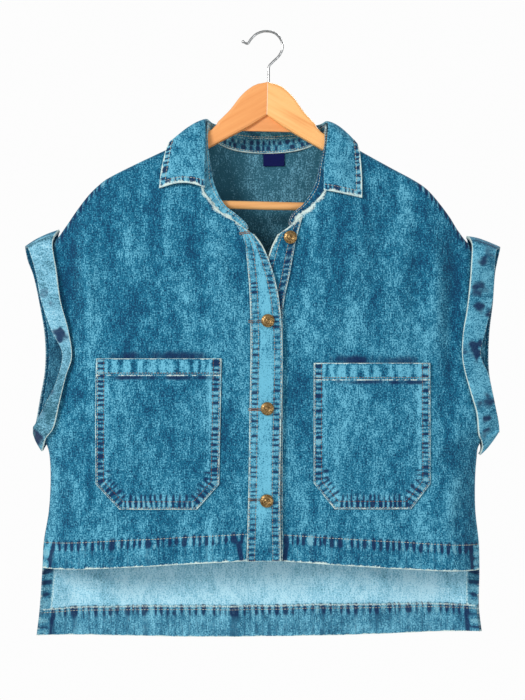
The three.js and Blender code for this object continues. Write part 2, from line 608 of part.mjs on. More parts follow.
function frontPanel(side) {
  const edges = {
    start: (v) => centreEdge(side, v),
    end: (v) => sideEdge("front", side, v),
    top: (u) => shoulderEdge(side, u),
    bottom: hem(centreEdge(side, 0), sideEdge("front", side, 0), FRONT_HEM_DIP),
  };
  const grid = FRONT_ROWS.map((v) =>
    COLUMNS.map((u) => {
      const { x, z } = inside(edges, u, v);
      return vector(x, frontY(side, x, z), z);
    }),
  );
  const seam = (i, j) =>
    j === FRONT_ROWS.length - 1 || (i === COLUMNS.length - 1 && FRONT_ROWS[j] <= V_UNDERARM);
  const thick = (i, j) => WALL + (FRONT_ROWS[j] < HEM_V.front ? HEM_TURN : 0);
  return wall(grid, { thick, outward: side === "left" ? 1 : -1, seam });
}

function backPanel() {
  const edges = {
    start: (v) => sideEdge("back", "right", v),
    end: (v) => sideEdge("back", "left", v),
    top: backTop,
    bottom: hem(sideEdge("back", "right", 0), sideEdge("back", "left", 0), BACK_HEM_DIP),
  };
  const grid = BACK_ROWS.map((v) =>
    BACK_COLUMNS.map((u) => {
      const { x, z } = inside(edges, u, v);
      return vector(x, clothY("back", x, z), z);
    }),
  );
  const lastColumn = BACK_COLUMNS.length - 1;
  const onShoulder = (u) => u <= NECK_U || u >= 1 - NECK_U;
  const seam = (i, j) =>
    (j === BACK_ROWS.length - 1 && onShoulder(BACK_COLUMNS[i])) ||
    ((i === 0 || i === lastColumn) && BACK_ROWS[j] <= V_UNDERARM);
  const thick = (i, j) => WALL + (BACK_ROWS[j] < HEM_V.back ? HEM_TURN : 0);
  return wall(grid, { thick, outward: -1, seam });
}

// A strip of cloth that lies on a front, its outer face moved out by its wall and the seam gap.
function strip(rows, key, places, shares, side, thickOf) {
  const grid = places.map((place) => {
    const [inX, inZ, outX, outZ] = ["inX", "inZ", "outX", "outZ"].map((value) =>
      rows[0][value] === undefined ? place : along(rows, key, place, value),
    );
    return shares.map((share) => {
      const x = mix(inX, outX, share);
      const z = mix(inZ, outZ, share);
      return vector(x, frontY(side, x, z) - LAY_GAP - thickOf(place), z);
    });
  });
  const outward = grid[0][0].x < grid[0][shares.length - 1].x ? 1 : -1;
  return wall(grid, { thick: (i, j) => thickOf(places[j]), outward });
}

const evenly = (count) => Array.from({ length: count + 1 }, (_, i) => i / count);

function placket(which) {
  const side = which === "upper" ? "right" : "left";
  return strip(PLACKETS[which], "t", evenly(28), evenly(4), side, () => PLACKET_WALL);
}

function pocket(name) {
  const rows = [...POCKETS[name]].reverse();
  const top = POCKETS[name][0].z;
  const corner = POCKETS[name][2].z;
  const hemEdge = top - POCKET_HEM_HEIGHT;
  const heights = [
    rows[0].z, mix(rows[0].z, corner, 0.5), corner, ...[0.25, 0.5, 0.75].map((t) => mix(corner, hemEdge, t)),
    hemEdge - 0.4, hemEdge, top,
  ];
  const thickOf = (z) => (z >= hemEdge ? POCKET_HEM_WALL : POCKET_WALL);
  return strip(rows, "z", heights, evenly(8), name === "pocket_right" ? "right" : "left", thickOf);
}

// Points of a curve through a table's places, as many for each as the count given.
function pathPoints(points, perSpan, closed = false) {
  const curve = new THREE.CatmullRomCurve3(points, closed, "catmullrom", 0.5);
  const spans = closed ? points.length : points.length - 1;
  const count = spans * perSpan;
  const steps = closed ? count : count + 1;
  return Array.from({ length: steps }, (_, i) => curve.getPoint(i / count));
}

// The stand rises from the fronts' necklines and the back's, and leans in where the collar lies open.
function stand() {
  const foot = STAND_TOP.map((row) => {
    const onNeck = row.edge === "neck";
    const { x, z } = onNeck ? backTop(row.u) : centreEdge(row.edge, row.v);
    const y = onNeck ? clothY("back", x, z) - STAND_WALL / 2 : frontY(row.edge, x, z) + STAND_WALL / 2;
    const onRidge = onNeck && Math.abs(row.u - 0.5) >= 0.5 - NECK_U;
    const low = vector(x, onRidge ? middleY(x, z) : y, z);
    if (row.v >= STEEP_V) return low.setX(x - Math.sign(x) * FOOT_INSET);
    const rise = vector(row.x, row.y, row.z).sub(low).normalize();
    return low.addScaledVector(rise, SEAM_GAP + STAND_WALL);
  });
  const topEdge = STAND_TOP.map((row) => vector(row.x, row.y, row.z));
  const low = pathPoints(foot, 1);
  const high = pathPoints(topEdge, 1);
  const grid = [0, 0.5, 1].map((share) => low.map((point, i) => point.clone().lerp(high[i], share)));
  return wall(grid, { thick: STAND_WALL, outward: -1 });
}

// Moves a point of the leaf's outer face out, where it would lie too close to the cloth below.
function offCloth(point) {
  const { x, y, z } = point;
  const least = COLLAR_WALL + LEAF_GAP;
  if (shoulderZ(x) - z < ARM_ROUND / 2) return point;
  if (y < middleY(x, z)) point.y = Math.min(y, clothY("front", x, z) - least);
  else point.y = Math.max(y, clothY("back", x, z) + least);
  return point;
}

// The leaf rolls over from the stand and lies on the shoulders, with a slight bow.
function leaf() {
  const roll = pathPoints(LEAF.map((row) => vector(row.rollX, row.rollY, row.rollZ)), 2);
  const free = pathPoints(LEAF.map((row) => vector(row.freeX, row.freeY, row.freeZ)), 2);
  const shares = [0, 0.12, 0.35, 0.6, 0.82, 1];
  const grid = shares.map((share) =>
    roll.map((point, i) => {
      const place = point.clone().lerp(free[i], share);
      const across = free[i].clone().sub(point);
      const ahead = roll[Math.min(roll.length - 1, i + 1)].clone().sub(roll[Math.max(0, i - 1)]);
      const out = ahead.cross(across).normalize();
      return offCloth(place.addScaledVector(out, LEAF_BOW * Math.sin(Math.PI * share ** 0.7)));
    }),
  );
  return wall(grid, { thick: COLLAR_WALL, outward: 1 });
}

// A turned-up band round a sleeve's end: two layers with a fold outside and a free edge towards the body.
function band(name) {
  const { sign } = name === "cuff_right" ? SIDES.right : SIDES.left;
  const place = (row, out, z, lift) => {
    const x = sign * out;
    if (row.side === 0) return vector(x, row.y, z);
    return vector(x, clothY(row.side < 0 ? "front" : "back", x, z) + row.side * lift, z);
  };
  const rows = BANDS[name];
  const fold = pathPoints(rows.map((row) => place(row, row.fold, row.foldZ, FOLD_LIFT)), 2, true);
  const free = pathPoints(rows.map((row) => place(row, row.free, row.freeZ, FREE_LIFT)), 2, true);
  const grid = [0, 0.3, 0.7, 1].map((share) =>
    fold.map((point, i) => {
      const before = fold[(i + fold.length - 1) % fold.length];
      const after = fold[(i + 1) % fold.length];
      const across = free[i].clone().sub(point);
      const out = after.clone().sub(before).cross(across).normalize().multiplyScalar(sign);
      return point.clone().lerp(free[i], share).addScaledVector(out, BAND_BOW * Math.sin(Math.PI * share));
    }),
  );
  return wall(grid, { thick: BAND_WALL, outward: sign, closed: true });
}

function label() {
  const shares = [0, 0.5, 1];
  const grid = shares.map((up) =>
    shares.map((share) => {
      const x = LABEL.x + (share - 0.5) * LABEL.width;
      const z = LABEL.top - (1 - up) * LABEL.height;
      return vector(x, clothY("back", x, z) - WALL - 3 * SEAM_GAP - LABEL.wall, z);
    }),
  );
  return wall(grid, { thick: LABEL.wall, outward: 1 });
}

// A shank button: its back on the cloth at y = 0 and its domed face towards +Y, before it is turned.
function button() {
  const { radius, rim, dome, shank } = BUTTON;
  const profile = [
    [0, 0],
    [shank, 0],
    [shank, 0.5],
    [radius - 0.6, 0.8],
    [radius, rim],
    [radius - 0.4, rim + 0.9],
    [radius - 1.6, rim + 1],
    [radius * 0.55, dome - 0.3],
    [0, dome],
  ].map(([r, y]) => new THREE.Vector2(r, y));
  return new THREE.LatheGeometry(profile, 16);
}

function hangerArm(side) {
  const { sign } = SIDES[side];
  const shape = new THREE.Shape();
  const point = ({ out, z }) => new THREE.Vector2(sign * out, z);
  const start = point(ARM_TOP[0]);
  shape.moveTo(start.x, start.y);
  shape.splineThru(ARM_TOP.slice(1).map(point));
  shape.splineThru(ARM_END.map(point));
  for (const corner of ARM_BOTTOM.map(point)) shape.lineTo(corner.x, corner.y);
  shape.closePath();
  const { thick, edge } = HANGER;
  const geometry = new THREE.ExtrudeGeometry(shape, {
    depth: thick - 2 * edge,
    bevelEnabled: true,
    bevelThickness: edge,
    bevelSize: edge,
    bevelOffset: -edge,
    bevelSegments: 2,
    curveSegments: 2,
  });
  geometry.translate(0, 0, edge - thick / 2);
  const places = geometry.getAttribute("position");
  for (let i = 0; i < places.count; i += 1) {
    const out = Math.max(SEAM_GAP / 2, sign * places.getX(i));
    places.setX(i, sign * out);
    places.setZ(i, places.getZ(i) + HANGER.sweep * out);
  }
  return geometry;
}

// A wire of round section along a route in the plane y = 0.
function hookWire() {
  const route = new THREE.CatmullRomCurve3(HOOK_ROUTE.map(({ x, z }) => vector(x, 0, z)));
  const section = new THREE.Shape();
  section.absarc(0, 0, HOOK.wire / 2, 0, 2 * Math.PI);
  return new THREE.ExtrudeGeometry(section, {
    steps: HOOK.steps,
    curveSegments: HOOK.sides / 2,
    extrudePath: route,
  });
}

function hangerBlock() {
  const { half, top, bottom, thick } = BLOCK;
  const shape = new THREE.Shape();
  const z0 = top - HANGER.top;
  const z1 = bottom - HANGER.top;
  shape.moveTo(-half, z1);
  shape.lineTo(half, z1);
  shape.lineTo(0, z0);
  shape.closePath();
  return new THREE.ExtrudeGeometry(shape, { depth: thick, bevelEnabled: false });
}

const model = new THREE.Group();
const finish = (colour, roughness, metalness = 0) =>
  new THREE.MeshStandardMaterial({ color: COLOURS[colour], roughness, metalness });

function add(parent, name, geometry, material) {
  const mesh = new THREE.Mesh(geometry, material);
  mesh.name = name;
  parent.add(mesh);
  return mesh;
}

const denim = finish("denim", 0.9);
const paleDenim = finish("pale", 0.9);
const wood = finish("wood", 0.45);
const brass = finish("brass", 0.4, 1);

add(model, "back_panel", backPanel(), paleDenim);
add(model, "front_right", frontPanel("right"), denim);
add(model, "front_left", frontPanel("left"), denim);
add(model, "placket_right", placket("upper"), denim);
add(model, "placket_left", placket("under"), denim);
add(model, "collar_stand", stand(), denim);
add(model, "collar_leaf", leaf(), denim);
add(model, "cuff_right", band("cuff_right"), paleDenim);
add(model, "cuff_left", band("cuff_left"), paleDenim);
add(model, "pocket_right", pocket("pocket_right"), denim);
add(model, "pocket_left", pocket("pocket_left"), denim);
add(model, "neck_label", label(), finish("label", 0.8));

for (const { name, x, z, on } of BUTTONS) {
  const mesh = add(model, name, button(), brass);
  const side = on === "upper" ? "right" : "left";
  mesh.position.set(x, frontY(side, x, z) - PLACKET_WALL - LAY_GAP - SEAM_GAP, z);
  mesh.rotation.x = Math.PI;
}

const hanger = new THREE.Group();
hanger.position.set(HANGER.x, 0, HANGER.top);
hanger.rotation.y = HANGER.tilt;
model.add(hanger);
for (const side of ["right", "left"])
  add(hanger, `hanger_arm_${side}`, hangerArm(side), wood).rotation.x = Math.PI / 2;
const barShape = new THREE.CylinderGeometry(BAR.radius, BAR.radius, 2 * BAR.half, 16);
const bar = add(hanger, "hanger_bar", barShape, wood);
bar.rotation.z = Math.PI / 2;
bar.position.set(0, -HANGER.sweep * BAR.half, BAR.z - HANGER.top);
const block = add(hanger, "hanger_block", hangerBlock(), wood);
block.rotation.x = Math.PI / 2;
block.position.y = BLOCK.thick / 2;
add(model, "hanger_hook", hookWire(), finish("chrome", 0.2, 1));

export default model;
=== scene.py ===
"""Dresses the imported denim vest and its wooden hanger, and sets the camera and the light.

Lengths in the tables are millimetres, in the part's own frame: +Z up, the front towards -Y. "Right" and
"left" are the wearer's, and right is -X. The tables of the cloth's shape are those of the part's source.
"""

from __future__ import annotations

import json
import logging
import math
from dataclasses import dataclass, field
from enum import Enum
from typing import Sequence

import bpy
import numpy as np
from bpy.types import ID, Material, Node, NodeSocket, Object
from mathutils import Matrix, Vector

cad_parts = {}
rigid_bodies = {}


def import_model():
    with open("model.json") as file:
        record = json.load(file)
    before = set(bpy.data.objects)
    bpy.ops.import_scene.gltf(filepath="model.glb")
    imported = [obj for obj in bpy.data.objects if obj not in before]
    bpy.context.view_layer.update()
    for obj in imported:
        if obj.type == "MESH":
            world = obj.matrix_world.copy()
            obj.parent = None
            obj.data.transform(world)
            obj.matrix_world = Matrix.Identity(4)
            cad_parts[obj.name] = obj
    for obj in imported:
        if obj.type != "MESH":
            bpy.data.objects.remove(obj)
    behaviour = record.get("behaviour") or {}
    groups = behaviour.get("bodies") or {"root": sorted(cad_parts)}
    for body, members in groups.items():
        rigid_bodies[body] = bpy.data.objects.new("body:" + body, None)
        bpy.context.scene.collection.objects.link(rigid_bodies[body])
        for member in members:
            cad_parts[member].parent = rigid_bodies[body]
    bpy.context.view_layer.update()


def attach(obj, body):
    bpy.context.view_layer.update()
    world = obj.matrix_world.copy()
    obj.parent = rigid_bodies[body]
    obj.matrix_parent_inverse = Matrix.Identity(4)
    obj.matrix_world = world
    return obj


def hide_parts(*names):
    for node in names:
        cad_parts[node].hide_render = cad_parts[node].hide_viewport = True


LOG = logging.getLogger("vest")
MM = 0.001
BODY = "root"

Array = np.ndarray
Colour = tuple[float, float, float]

# Cloth and seams
WALL = 1.6
SEAM_GAP = 0.3
LAY_GAP = 0.5
HEM_TURN = 1.4
PLACKET_WALL = 2.2
COLLAR_WALL = 2.4
STAND_WALL = 2.0
BAND_WALL = 3.0
POCKET_WALL = 1.6
POCKET_HEM_WALL = 2.6
POCKET_HEM_HEIGHT = 17.0

# How the cloth hangs
ARM_HALF_SPREAD = 8.8
ARM_ROUND = 8.0
NECK_SLOPE = 0.5
SIDE_ROUND = 50.0
SLEEVE_FLAT = 0.35
UNDERLAP = 4.9
V_UNDERARM = 0.36
STEEP_V = 0.85
NECK_U = 0.36
HEM_V_FRONT = 0.05
HEM_V_BACK = 0.044
FRONT_HEM_DIP = 0.5
BACK_HEM_DIP = 6.0
LEAF_BOW = 3.5
LEAF_GAP = 1.3
FOOT_INSET = 0.9
FOLD_LIFT = BAND_WALL + 1
FREE_LIFT = BAND_WALL + 3
BAND_BOW = 1.5
STITCH_DIP = 0.3  # how deep a row of stitches draws the cloth in


class Side(Enum):
    """The wearer's side, with the sign of X there."""

    RIGHT = -1
    LEFT = 1

    @property
    def label(self) -> str:
        """The side's name in lower case."""
        return self.name.lower()


class Face(Enum):
    """A face of the hanging cloth, with the sign of Y there."""

    FRONT = -1
    BACK = 1


@dataclass(frozen=True)
class Table:
    """Rows of named columns that are read along a smooth curve, broken at the corner rows."""

    names: tuple[str, ...]
    rows: tuple[tuple[float, ...], ...]
    corners: tuple[int, ...] = ()

    def column(self, name: str) -> Array:
        """A column's values."""
        return np.array([row[self.names.index(name)] for row in self.rows], float)

    def along(self, key: str, place: Array | float, value: str) -> Array:
        """A column's value at a place of another column.

        Args:
            key: the column that the place is on, rising from row to row.
            place: the place or places.
            value: the column to read.

        Returns:
            The values, on a curve through the rows.
        """
        keys = self.column(key)
        values = self.column(value)
        count = len(keys)
        where = np.asarray(place, float)
        low = np.clip(np.searchsorted(keys, where, side="left") - 1, 0, count - 2)
        before = np.maximum(np.arange(count) - 1, 0)
        after = np.minimum(np.arange(count) + 1, count - 1)
        slopes = (values[after] - values[before]) / (keys[after] - keys[before])
        corner = np.zeros(count, bool)
        corner[list(self.corners)] = True
        span = keys[low + 1] - keys[low]
        share = (where - keys[low]) / span
        chord = (values[low + 1] - values[low]) / span
        slope_a = np.where(corner[low], chord, slopes[low])
        slope_b = np.where(corner[low + 1], chord, slopes[low + 1])
        bend = (1 - share) * (slope_a - chord) - share * (slope_b - chord)
        smooth = values[low] + chord * span * share + share * (1 - share) * span * bend
        straight = values[low] + chord * (where - keys[low])
        return np.where((share < 0) | (share > 1), straight, smooth)


BOTH = ("right", "right_z", "left", "left_z")
SHOULDER = Table(
    ("u", *BOTH),
    (
        (0, 67, -112, 70, -114.5), (0.22, 112, -134.5, 110, -137.5), (0.38, 150, -153, 142, -155.5),
        (0.52, 179.5, -168.5, 168, -169.8), (0.59, 190, -176.5, 182, -179.5),
        (0.66, 200, -186, 194, -192), (0.76, 214, -203.5, 208.8, -211), (0.84, 226, -220.5, 218, -225.5),
        (0.91, 238.5, -236.5, 231, -241), (1, 262, -254, 255, -254),
    ),
)
SIDE_LINE = Table(
    ("z", "right", "left"),
    (
        (-690, 262.5, 248.7), (-655, 258.3, 244.5), (-612, 254.5, 244), (-581, 252.8, 243.2),
        (-545, 247, 239.3), (-510, 245, 239), (-484, 246, 240.8), (-471, 249, 243), (-462, 255, 250.5),
        (-445, 272, 272), (-400, 290, 288), (-340, 292, 290), (-290, 288, 286), (-250, 278, 275),
        (-200, 262, 262),
    ),
)
SEAM_HEIGHTS = {
    Face.FRONT: Table(
        ("v", "right_z", "left_z"),
        (
            (0, -609.5, -611.5), (0.05, -580, -582), (0.15, -545, -546), (0.25, -510, -511),
            (0.32, -484, -484), (V_UNDERARM, -462, -462),
        ),
    ),
    Face.BACK: Table(
        ("v", "right_z", "left_z"),
        (
            (0, -688.5, -684), (0.044, -658.5, -653.5), (0.12, -611, -612), (0.2, -560, -560),
            (0.27, -516, -516), (0.33, -479, -479), (V_UNDERARM, -462, -462),
        ),
    ),
}
SLEEVE_END = {
    Face.FRONT: Table(
        ("v", *BOTH),
        (
            (V_UNDERARM, 255, -462, 250.5, -462), (0.41, 253, -445, 254, -449),
            (0.47, 242.5, -423, 256, -432), (0.535, 230, -397, 251.5, -414),
            (0.6, 224, -367, 245.5, -389), (0.69, 236, -341, 237, -367), (0.78, 248.5, -306, 243, -340),
            (0.86, 255, -279, 252, -305), (0.94, 260, -262, 255.5, -270), (1, 262, -254, 255, -254),
        ),
    ),
    Face.BACK: Table(
        ("v", *BOTH),
        (
            (V_UNDERARM, 255, -462, 250.5, -462), (0.41, 257, -440, 261, -446),
            (0.5, 255, -418, 259, -421), (0.6, 249.5, -383, 253, -384), (0.7, 250, -345, 253.5, -344),
            (0.8, 256.5, -305, 257.5, -308), (0.9, 262, -274, 259, -274), (1, 262, -254, 255, -254),
        ),
    ),
}
CENTRE_EDGE = Table(
    ("v", *BOTH),
    (
        (0, 16.5, -597.5, 10, -598), (0.05, 16.5, -567, 10, -568), (0.2, 11, -480, 10.5, -480),
        (0.35, 8.5, -395, 10.5, -395), (0.45, 8, -335, 11, -335), (0.53, 11, -280, 16, -285),
        (0.6, 21, -228, 29, -226), (0.66, 37, -215, 36.5, -211.5), (0.72, 53, -204.5, 50, -201.5),
        (0.78, 69, -184, 66, -184), (0.86, 72.5, -158, 68, -160), (0.93, 71, -135, 69.5, -136),
        (1, 67, -112, 70, -114.5),
    ),
    corners=(6, 9),
)
BACK_NECK = Table(
    ("u", "x", "z"),
    (
        (NECK_U, -67, -112), (0.375, -65.5, -116.5), (0.39, -60, -124), (0.44, -35, -131), (0.5, 0, -133),
        (0.56, 36, -131.5), (0.61, 62, -126), (0.625, 68.3, -119), (1 - NECK_U, 70, -114.5),
    ),
    corners=(0, 8),
)
DEPTHS = Table(
    ("z", "FRONT", "BACK"),
    (
        (-690, 38, 23), (-600, 37, 23), (-450, 35, 24), (-300, 33, 27), (-183, 31, 32), (-100, 30, 36),
    ),
)
MIDDLE = Table(("out", "y"), ((0, 0), (180, -12.6), (220, -5), (265, 5)), corners=(1,))

# Soft folds: from (x, z) to (x, z), half width, and height (a trough is below 0)
FoldRow = tuple[float, float, float, float, float, float]
FOLDS: dict[Face, tuple[FoldRow, ...]] = {
    Face.FRONT: (
        (-221, -232, -222, -420, 12, -8), (-203, -215, -200, -345, 11, 4),
        (-232, -490, -208, -462, 20, -3), (-80, -215, -30, -400, 24, 2.5),
        (-120, -560, -135, -600, 20, 3), (212, -245, 208, -420, 12, -7), (192, -225, 190, -350, 12, 4),
        (228, -494, 205, -466, 20, -3), (70, -230, 45, -400, 24, 2.5), (120, -560, 130, -600, 20, 3),
    ),
    Face.BACK: (
        (-150, -230, -165, -560, 26, 4), (-70, -320, -85, -690, 24, -4), (10, -260, 5, -690, 30, 4),
        (95, -320, 85, -690, 24, -4), (150, -230, 170, -560, 26, 4),
    ),
}
# Finer creases that only the dressed cloth has, in the same form
CREASES: dict[Face, tuple[FoldRow, ...]] = {
    Face.FRONT: (
        (-180, -190, -172, -330, 9, -1.4), (-160, -185, -158, -300, 10, 1.3),
        (-138, -190, -120, -330, 11, -1.3), (-110, -200, -92, -340, 11, 1.2),
        (-88, -205, -58, -330, 8, -1.5), (-60, -225, -34, -330, 7, 1.3),
        (-232, -520, -215, -575, 9, -1.6), (-216, -490, -205, -560, 9, 1.3),
        (-205, -420, -212, -520, 8, -1.3), (-240, -470, -205, -440, 7, 1.4),
        (-150, -545, -148, -590, 10, -1.0), (-60, -548, -66, -590, 9, 1.2),
        (-34, -430, -36, -560, 8, -1.0), (-30, -300, -34, -400, 8, 0.9), (176, -200, 168, -330, 9, -1.4),
        (156, -195, 150, -310, 10, 1.3), (132, -195, 118, -330, 11, -1.3), (104, -205, 92, -330, 11, 1.2),
        (86, -215, 66, -330, 8, -1.5), (228, -520, 212, -575, 9, -1.6), (212, -490, 203, -560, 9, 1.3),
        (202, -420, 206, -520, 8, -1.3), (236, -470, 202, -440, 7, 1.4), (148, -545, 150, -590, 10, -1.0),
        (62, -548, 66, -590, 9, 1.2), (38, -330, 36, -470, 8, -1.2), (44, -470, 42, -580, 8, 1.0),
    ),
    Face.BACK: (
        (-205, -230, -200, -400, 10, -1.8), (-110, -220, -120, -420, 14, -1.5),
        (-40, -200, -44, -420, 14, 1.4), (45, -200, 48, -420, 14, -1.4), (120, -220, 118, -430, 14, 1.5),
        (200, -230, 198, -400, 10, -1.8), (-215, -560, -225, -690, 12, 1.8),
        (-180, -600, -186, -690, 12, -1.6), (-128, -590, -132, -690, 12, 1.6),
        (-40, -600, -36, -690, 13, -1.4), (48, -600, 46, -690, 12, 1.5), (130, -590, 134, -690, 12, -1.6),
        (180, -600, 186, -690, 12, 1.4), (215, -560, 222, -690, 12, -1.6),
        (-238, -500, -205, -450, 9, 1.8), (236, -500, 204, -450, 9, 1.8),
        (-232, -612, -178, -630, 6, -2.2), (-212, -632, -184, -645, 5, -1.8),
        (-158, -612, -130, -640, 7, -1.6), (112, -612, 150, -636, 7, -1.8),
        (196, -614, 222, -640, 6, -2.0),
    ),
}
STRIP = ("t", "in_x", "in_z", "out_x", "out_z")
UPPER_PLACKET = Table(
    STRIP,
    (
        (0, -21, -598, 16.8, -597.5), (0.2, -19, -520, 16.2, -520), (0.4, -18, -445, 17.3, -445),
        (0.6, -16.5, -365, 18.8, -365), (0.73, -17, -315, 15.8, -312), (0.84, -19.5, -275, 8.5, -276),
        (0.93, -24, -240, -2, -248), (1, -33, -219.5, -13, -233),
    ),
)
UNDER_PLACKET = Table(
    STRIP,
    (
        (0, -15, -597, 19, -597), (0.2, -15, -520, 19, -520), (0.4, -15, -445, 19, -445),
        (0.6, -14.5, -365, 19, -365), (0.73, -11, -318, 20, -312), (0.84, -3, -281, 27, -277),
        (0.93, 6, -249, 34, -239), (1, 14, -233, 41, -213),
    ),
)
POCKETS = {
    Side.RIGHT: Table(
        ("z", "in_x", "out_x"),
        ((-540, -76.7, -163), (-512, -52, -189.6), (-428, -50.3, -190.4), (-371.5, -49.6, -189.6)),
        corners=(1,),
    ),
    Side.LEFT: Table(
        ("z", "in_x", "out_x"),
        ((-539.5, 77, 162.5), (-511, 54, 184.3), (-430, 54, 184.3), (-376.5, 54, 184.3)),
        corners=(1,),
    ),
}


class Edge(Enum):
    """What the collar stand's foot follows."""

    RIGHT = "right front"
    NECK = "back neck"
    LEFT = "left front"


StandRow = tuple[Edge, float, float, float, float]
# The edge, its v or u, and the stand's top there
STAND_TOP: tuple[StandRow, ...] = (
    (Edge.RIGHT, 0.6, -14.5, -28, -225), (Edge.RIGHT, 0.66, -32, -26.5, -210),
    (Edge.RIGHT, 0.72, -47, -25, -197), (Edge.RIGHT, 0.78, -58, -22, -174),
    (Edge.RIGHT, 0.85, -62, -19, -152), (Edge.RIGHT, 0.91, -65, -17, -130),
    (Edge.RIGHT, 0.95, -66, -14.5, -115), (Edge.RIGHT, 0.975, -66.5, -12, -108),
    (Edge.RIGHT, 0.99, -66.5, -8.5, -104.5), (Edge.NECK, NECK_U, -66, -4, -103),
    (Edge.NECK, 0.375, -63.5, 8, -103.5), (Edge.NECK, 0.39, -57, 19, -105.5),
    (Edge.NECK, 0.44, -32, 29.5, -108), (Edge.NECK, 0.5, 0, 34, -109), (Edge.NECK, 0.56, 34, 29.5, -108),
    (Edge.NECK, 0.61, 59, 19, -106), (Edge.NECK, 0.625, 66, 8, -104.5),
    (Edge.NECK, 1 - NECK_U, 69, -4, -105.5), (Edge.LEFT, 0.99, 69.5, -8.5, -107),
    (Edge.LEFT, 0.975, 69.5, -12, -110.5), (Edge.LEFT, 0.95, 68.5, -14.5, -118),
    (Edge.LEFT, 0.91, 66, -17, -132), (Edge.LEFT, 0.85, 61, -19, -153), (Edge.LEFT, 0.78, 56, -22, -175),
    (Edge.LEFT, 0.72, 44, -25, -196), (Edge.LEFT, 0.66, 31, -26.5, -208), (Edge.LEFT, 0.6, 22, -28, -222),
)
# The leaf's roll line, then its free edge
LEAF: tuple[tuple[float, ...], ...] = (
    (-67.5, -33.5, -180, -119.5, -27, -180), (-67.5, -30, -155, -117.5, -23, -160),
    (-67, -20, -124, -114, -19.5, -142), (-67.5, -15.5, -107, -111.5, -17, -133),
    (-66.5, -3, -99, -107, -8, -126.5), (-58, 21, -101.5, -92, 19.5, -142),
    (-32, 32.8, -104.5, -48, 33, -153), (0, 37, -105.5, 0, 38, -156), (34, 32.8, -104.5, 50, 33, -153),
    (60.5, 21, -102.5, 92, 19.5, -143), (69.5, -3, -101.5, 102, -8, -127),
    (70.5, -15.5, -109.5, 105.5, -17, -134), (69, -20, -126, 107, -19.5, -144),
    (65.5, -30, -157, 108.5, -24, -167), (65, -33.5, -183, 108.4, -28, -191),
)
# side (-1 on the front, 1 on the back, 0 at y), y, fold out, fold z, free out, free z
BAND_ROWS: dict[Side, tuple[tuple[float, ...], ...]] = {
    Side.RIGHT: (
        (0, 1, 265, -457.5, 255, -477.5), (-1, 0, 264, -453, 252.5, -471.5),
        (-1, 0, 262.5, -448.5, 248, -462), (-1, 0, 258.5, -443, 238, -449),
        (-1, 0, 247.5, -422, 231, -421), (-1, 0, 235, -397, 224, -391), (-1, 0, 229, -367, 217.5, -369),
        (-1, 0, 241, -340, 222, -339.5), (-1, 0, 253.6, -306, 231, -306), (-1, 0, 260, -277, 236, -274),
        (0, -13, 268, -249, 241, -240.5), (0, 6, 275, -243.5, 236, -224), (1, 0, 272.5, -260, 240, -247),
        (1, 0, 267, -277, 242, -277), (1, 0, 261, -306, 236, -306), (1, 0, 254.5, -345, 230, -345),
        (1, 0, 254, -383, 229, -383), (1, 0, 259.5, -418, 236, -422), (1, 0, 263, -441, 243, -452),
        (1, 0, 264.5, -450, 249, -467),
    ),
    Side.LEFT: (
        (0, -1, 260, -463.5, 244.5, -482), (0, -8, 262.5, -459.5, 246.5, -474),
        (0, -16, 264, -454, 244, -465), (-1, 0, 264.5, -449, 240, -456), (-1, 0, 261, -433, 237, -433),
        (-1, 0, 256.5, -414, 231.5, -414), (-1, 0, 250.5, -389, 224.2, -389),
        (-1, 0, 242, -367, 221, -369), (-1, 0, 248, -340, 222, -344), (-1, 0, 257, -305, 228.5, -306),
        (-1, 0, 260.5, -270, 232, -270), (0, -13, 261.5, -250, 233.5, -242),
        (0, 6, 268.5, -245, 230, -231.5), (1, 0, 266, -260, 234, -250), (1, 0, 264, -276, 239, -276),
        (1, 0, 262, -308, 237, -308), (1, 0, 258, -344, 233, -344), (1, 0, 257.5, -384, 233, -384),
        (1, 0, 263, -421, 239, -424), (1, 0, 266, -446, 245, -459), (1, 0, 264.5, -456, 246.5, -474),
    ),
}
COLUMNS = (0, 0.08, 0.18, 0.29, 0.4, 0.51, 0.61, 0.7, 0.79, 0.86, 0.92, 0.96, 0.985, 0.995, 1)
NECK_COLUMNS = (0.367, 0.375, 0.39, 0.415, 0.44, 0.47, 0.5, 0.53, 0.56, 0.585, 0.61, 0.625, 0.633)
FRONT_ROWS = (
    (0, 0.0012, 0.0025, 0.049, 0.052, 0.11, 0.18, 0.25, 0.32, V_UNDERARM, 0.41, 0.47, 0.535, 0.568, 0.6)
    + (0.66, 0.72, 0.78, 0.85, 0.91, 0.95, 0.975, 0.985, 0.99, 0.994, 0.997, 0.9985, 1)
)
BACK_ROWS = (
    (0, 0.001, 0.002, 0.043, 0.046, 0.085, 0.12, 0.17, 0.22, 0.27, 0.33, V_UNDERARM, 0.41, 0.47, 0.54)
    + (0.61, 0.69, 0.77, 0.84, 0.9, 0.94, 0.97, 0.985, 0.99, 0.9945, 0.998, 0.9992, 1)
)
# One hanger hook, from the stem's foot up and round to its tip
HOOK_ROUTE = (
    (3.6, -56.2), (3.6, -47), (4, -39), (8.5, -33.5), (15.5, -26.5), (19.4, -17.7), (17.6, -8.2),
    (10.6, -0.8), (0.3, 1.4), (-9.4, -1.2), (-16.2, -7.2), (-20.4, -12.6), (-25.4, -10.6),
)


def mix(a: Array | float, b: Array | float, share: Array | float) -> Array | float:
    """The value a share of the way from a to b."""
    return a + (b - a) * share


def ease(share: Array | float) -> Array:
    """A smooth step from 0 to 1."""
    near = np.clip(share, 0, 1)
    return near * near * (3 - 2 * near)


def quarter_round(share: Array | float) -> Array:
    """The height of a quarter circle, from 0 to 1."""
    return np.sqrt(1 - (1 - np.clip(share, 0, 1)) ** 2)


def hill(away: Array | float, half: Array | float, power: int = 2) -> Array:
    """A bell curve, 1 at its middle."""
    return np.exp(-((away / half) ** power))


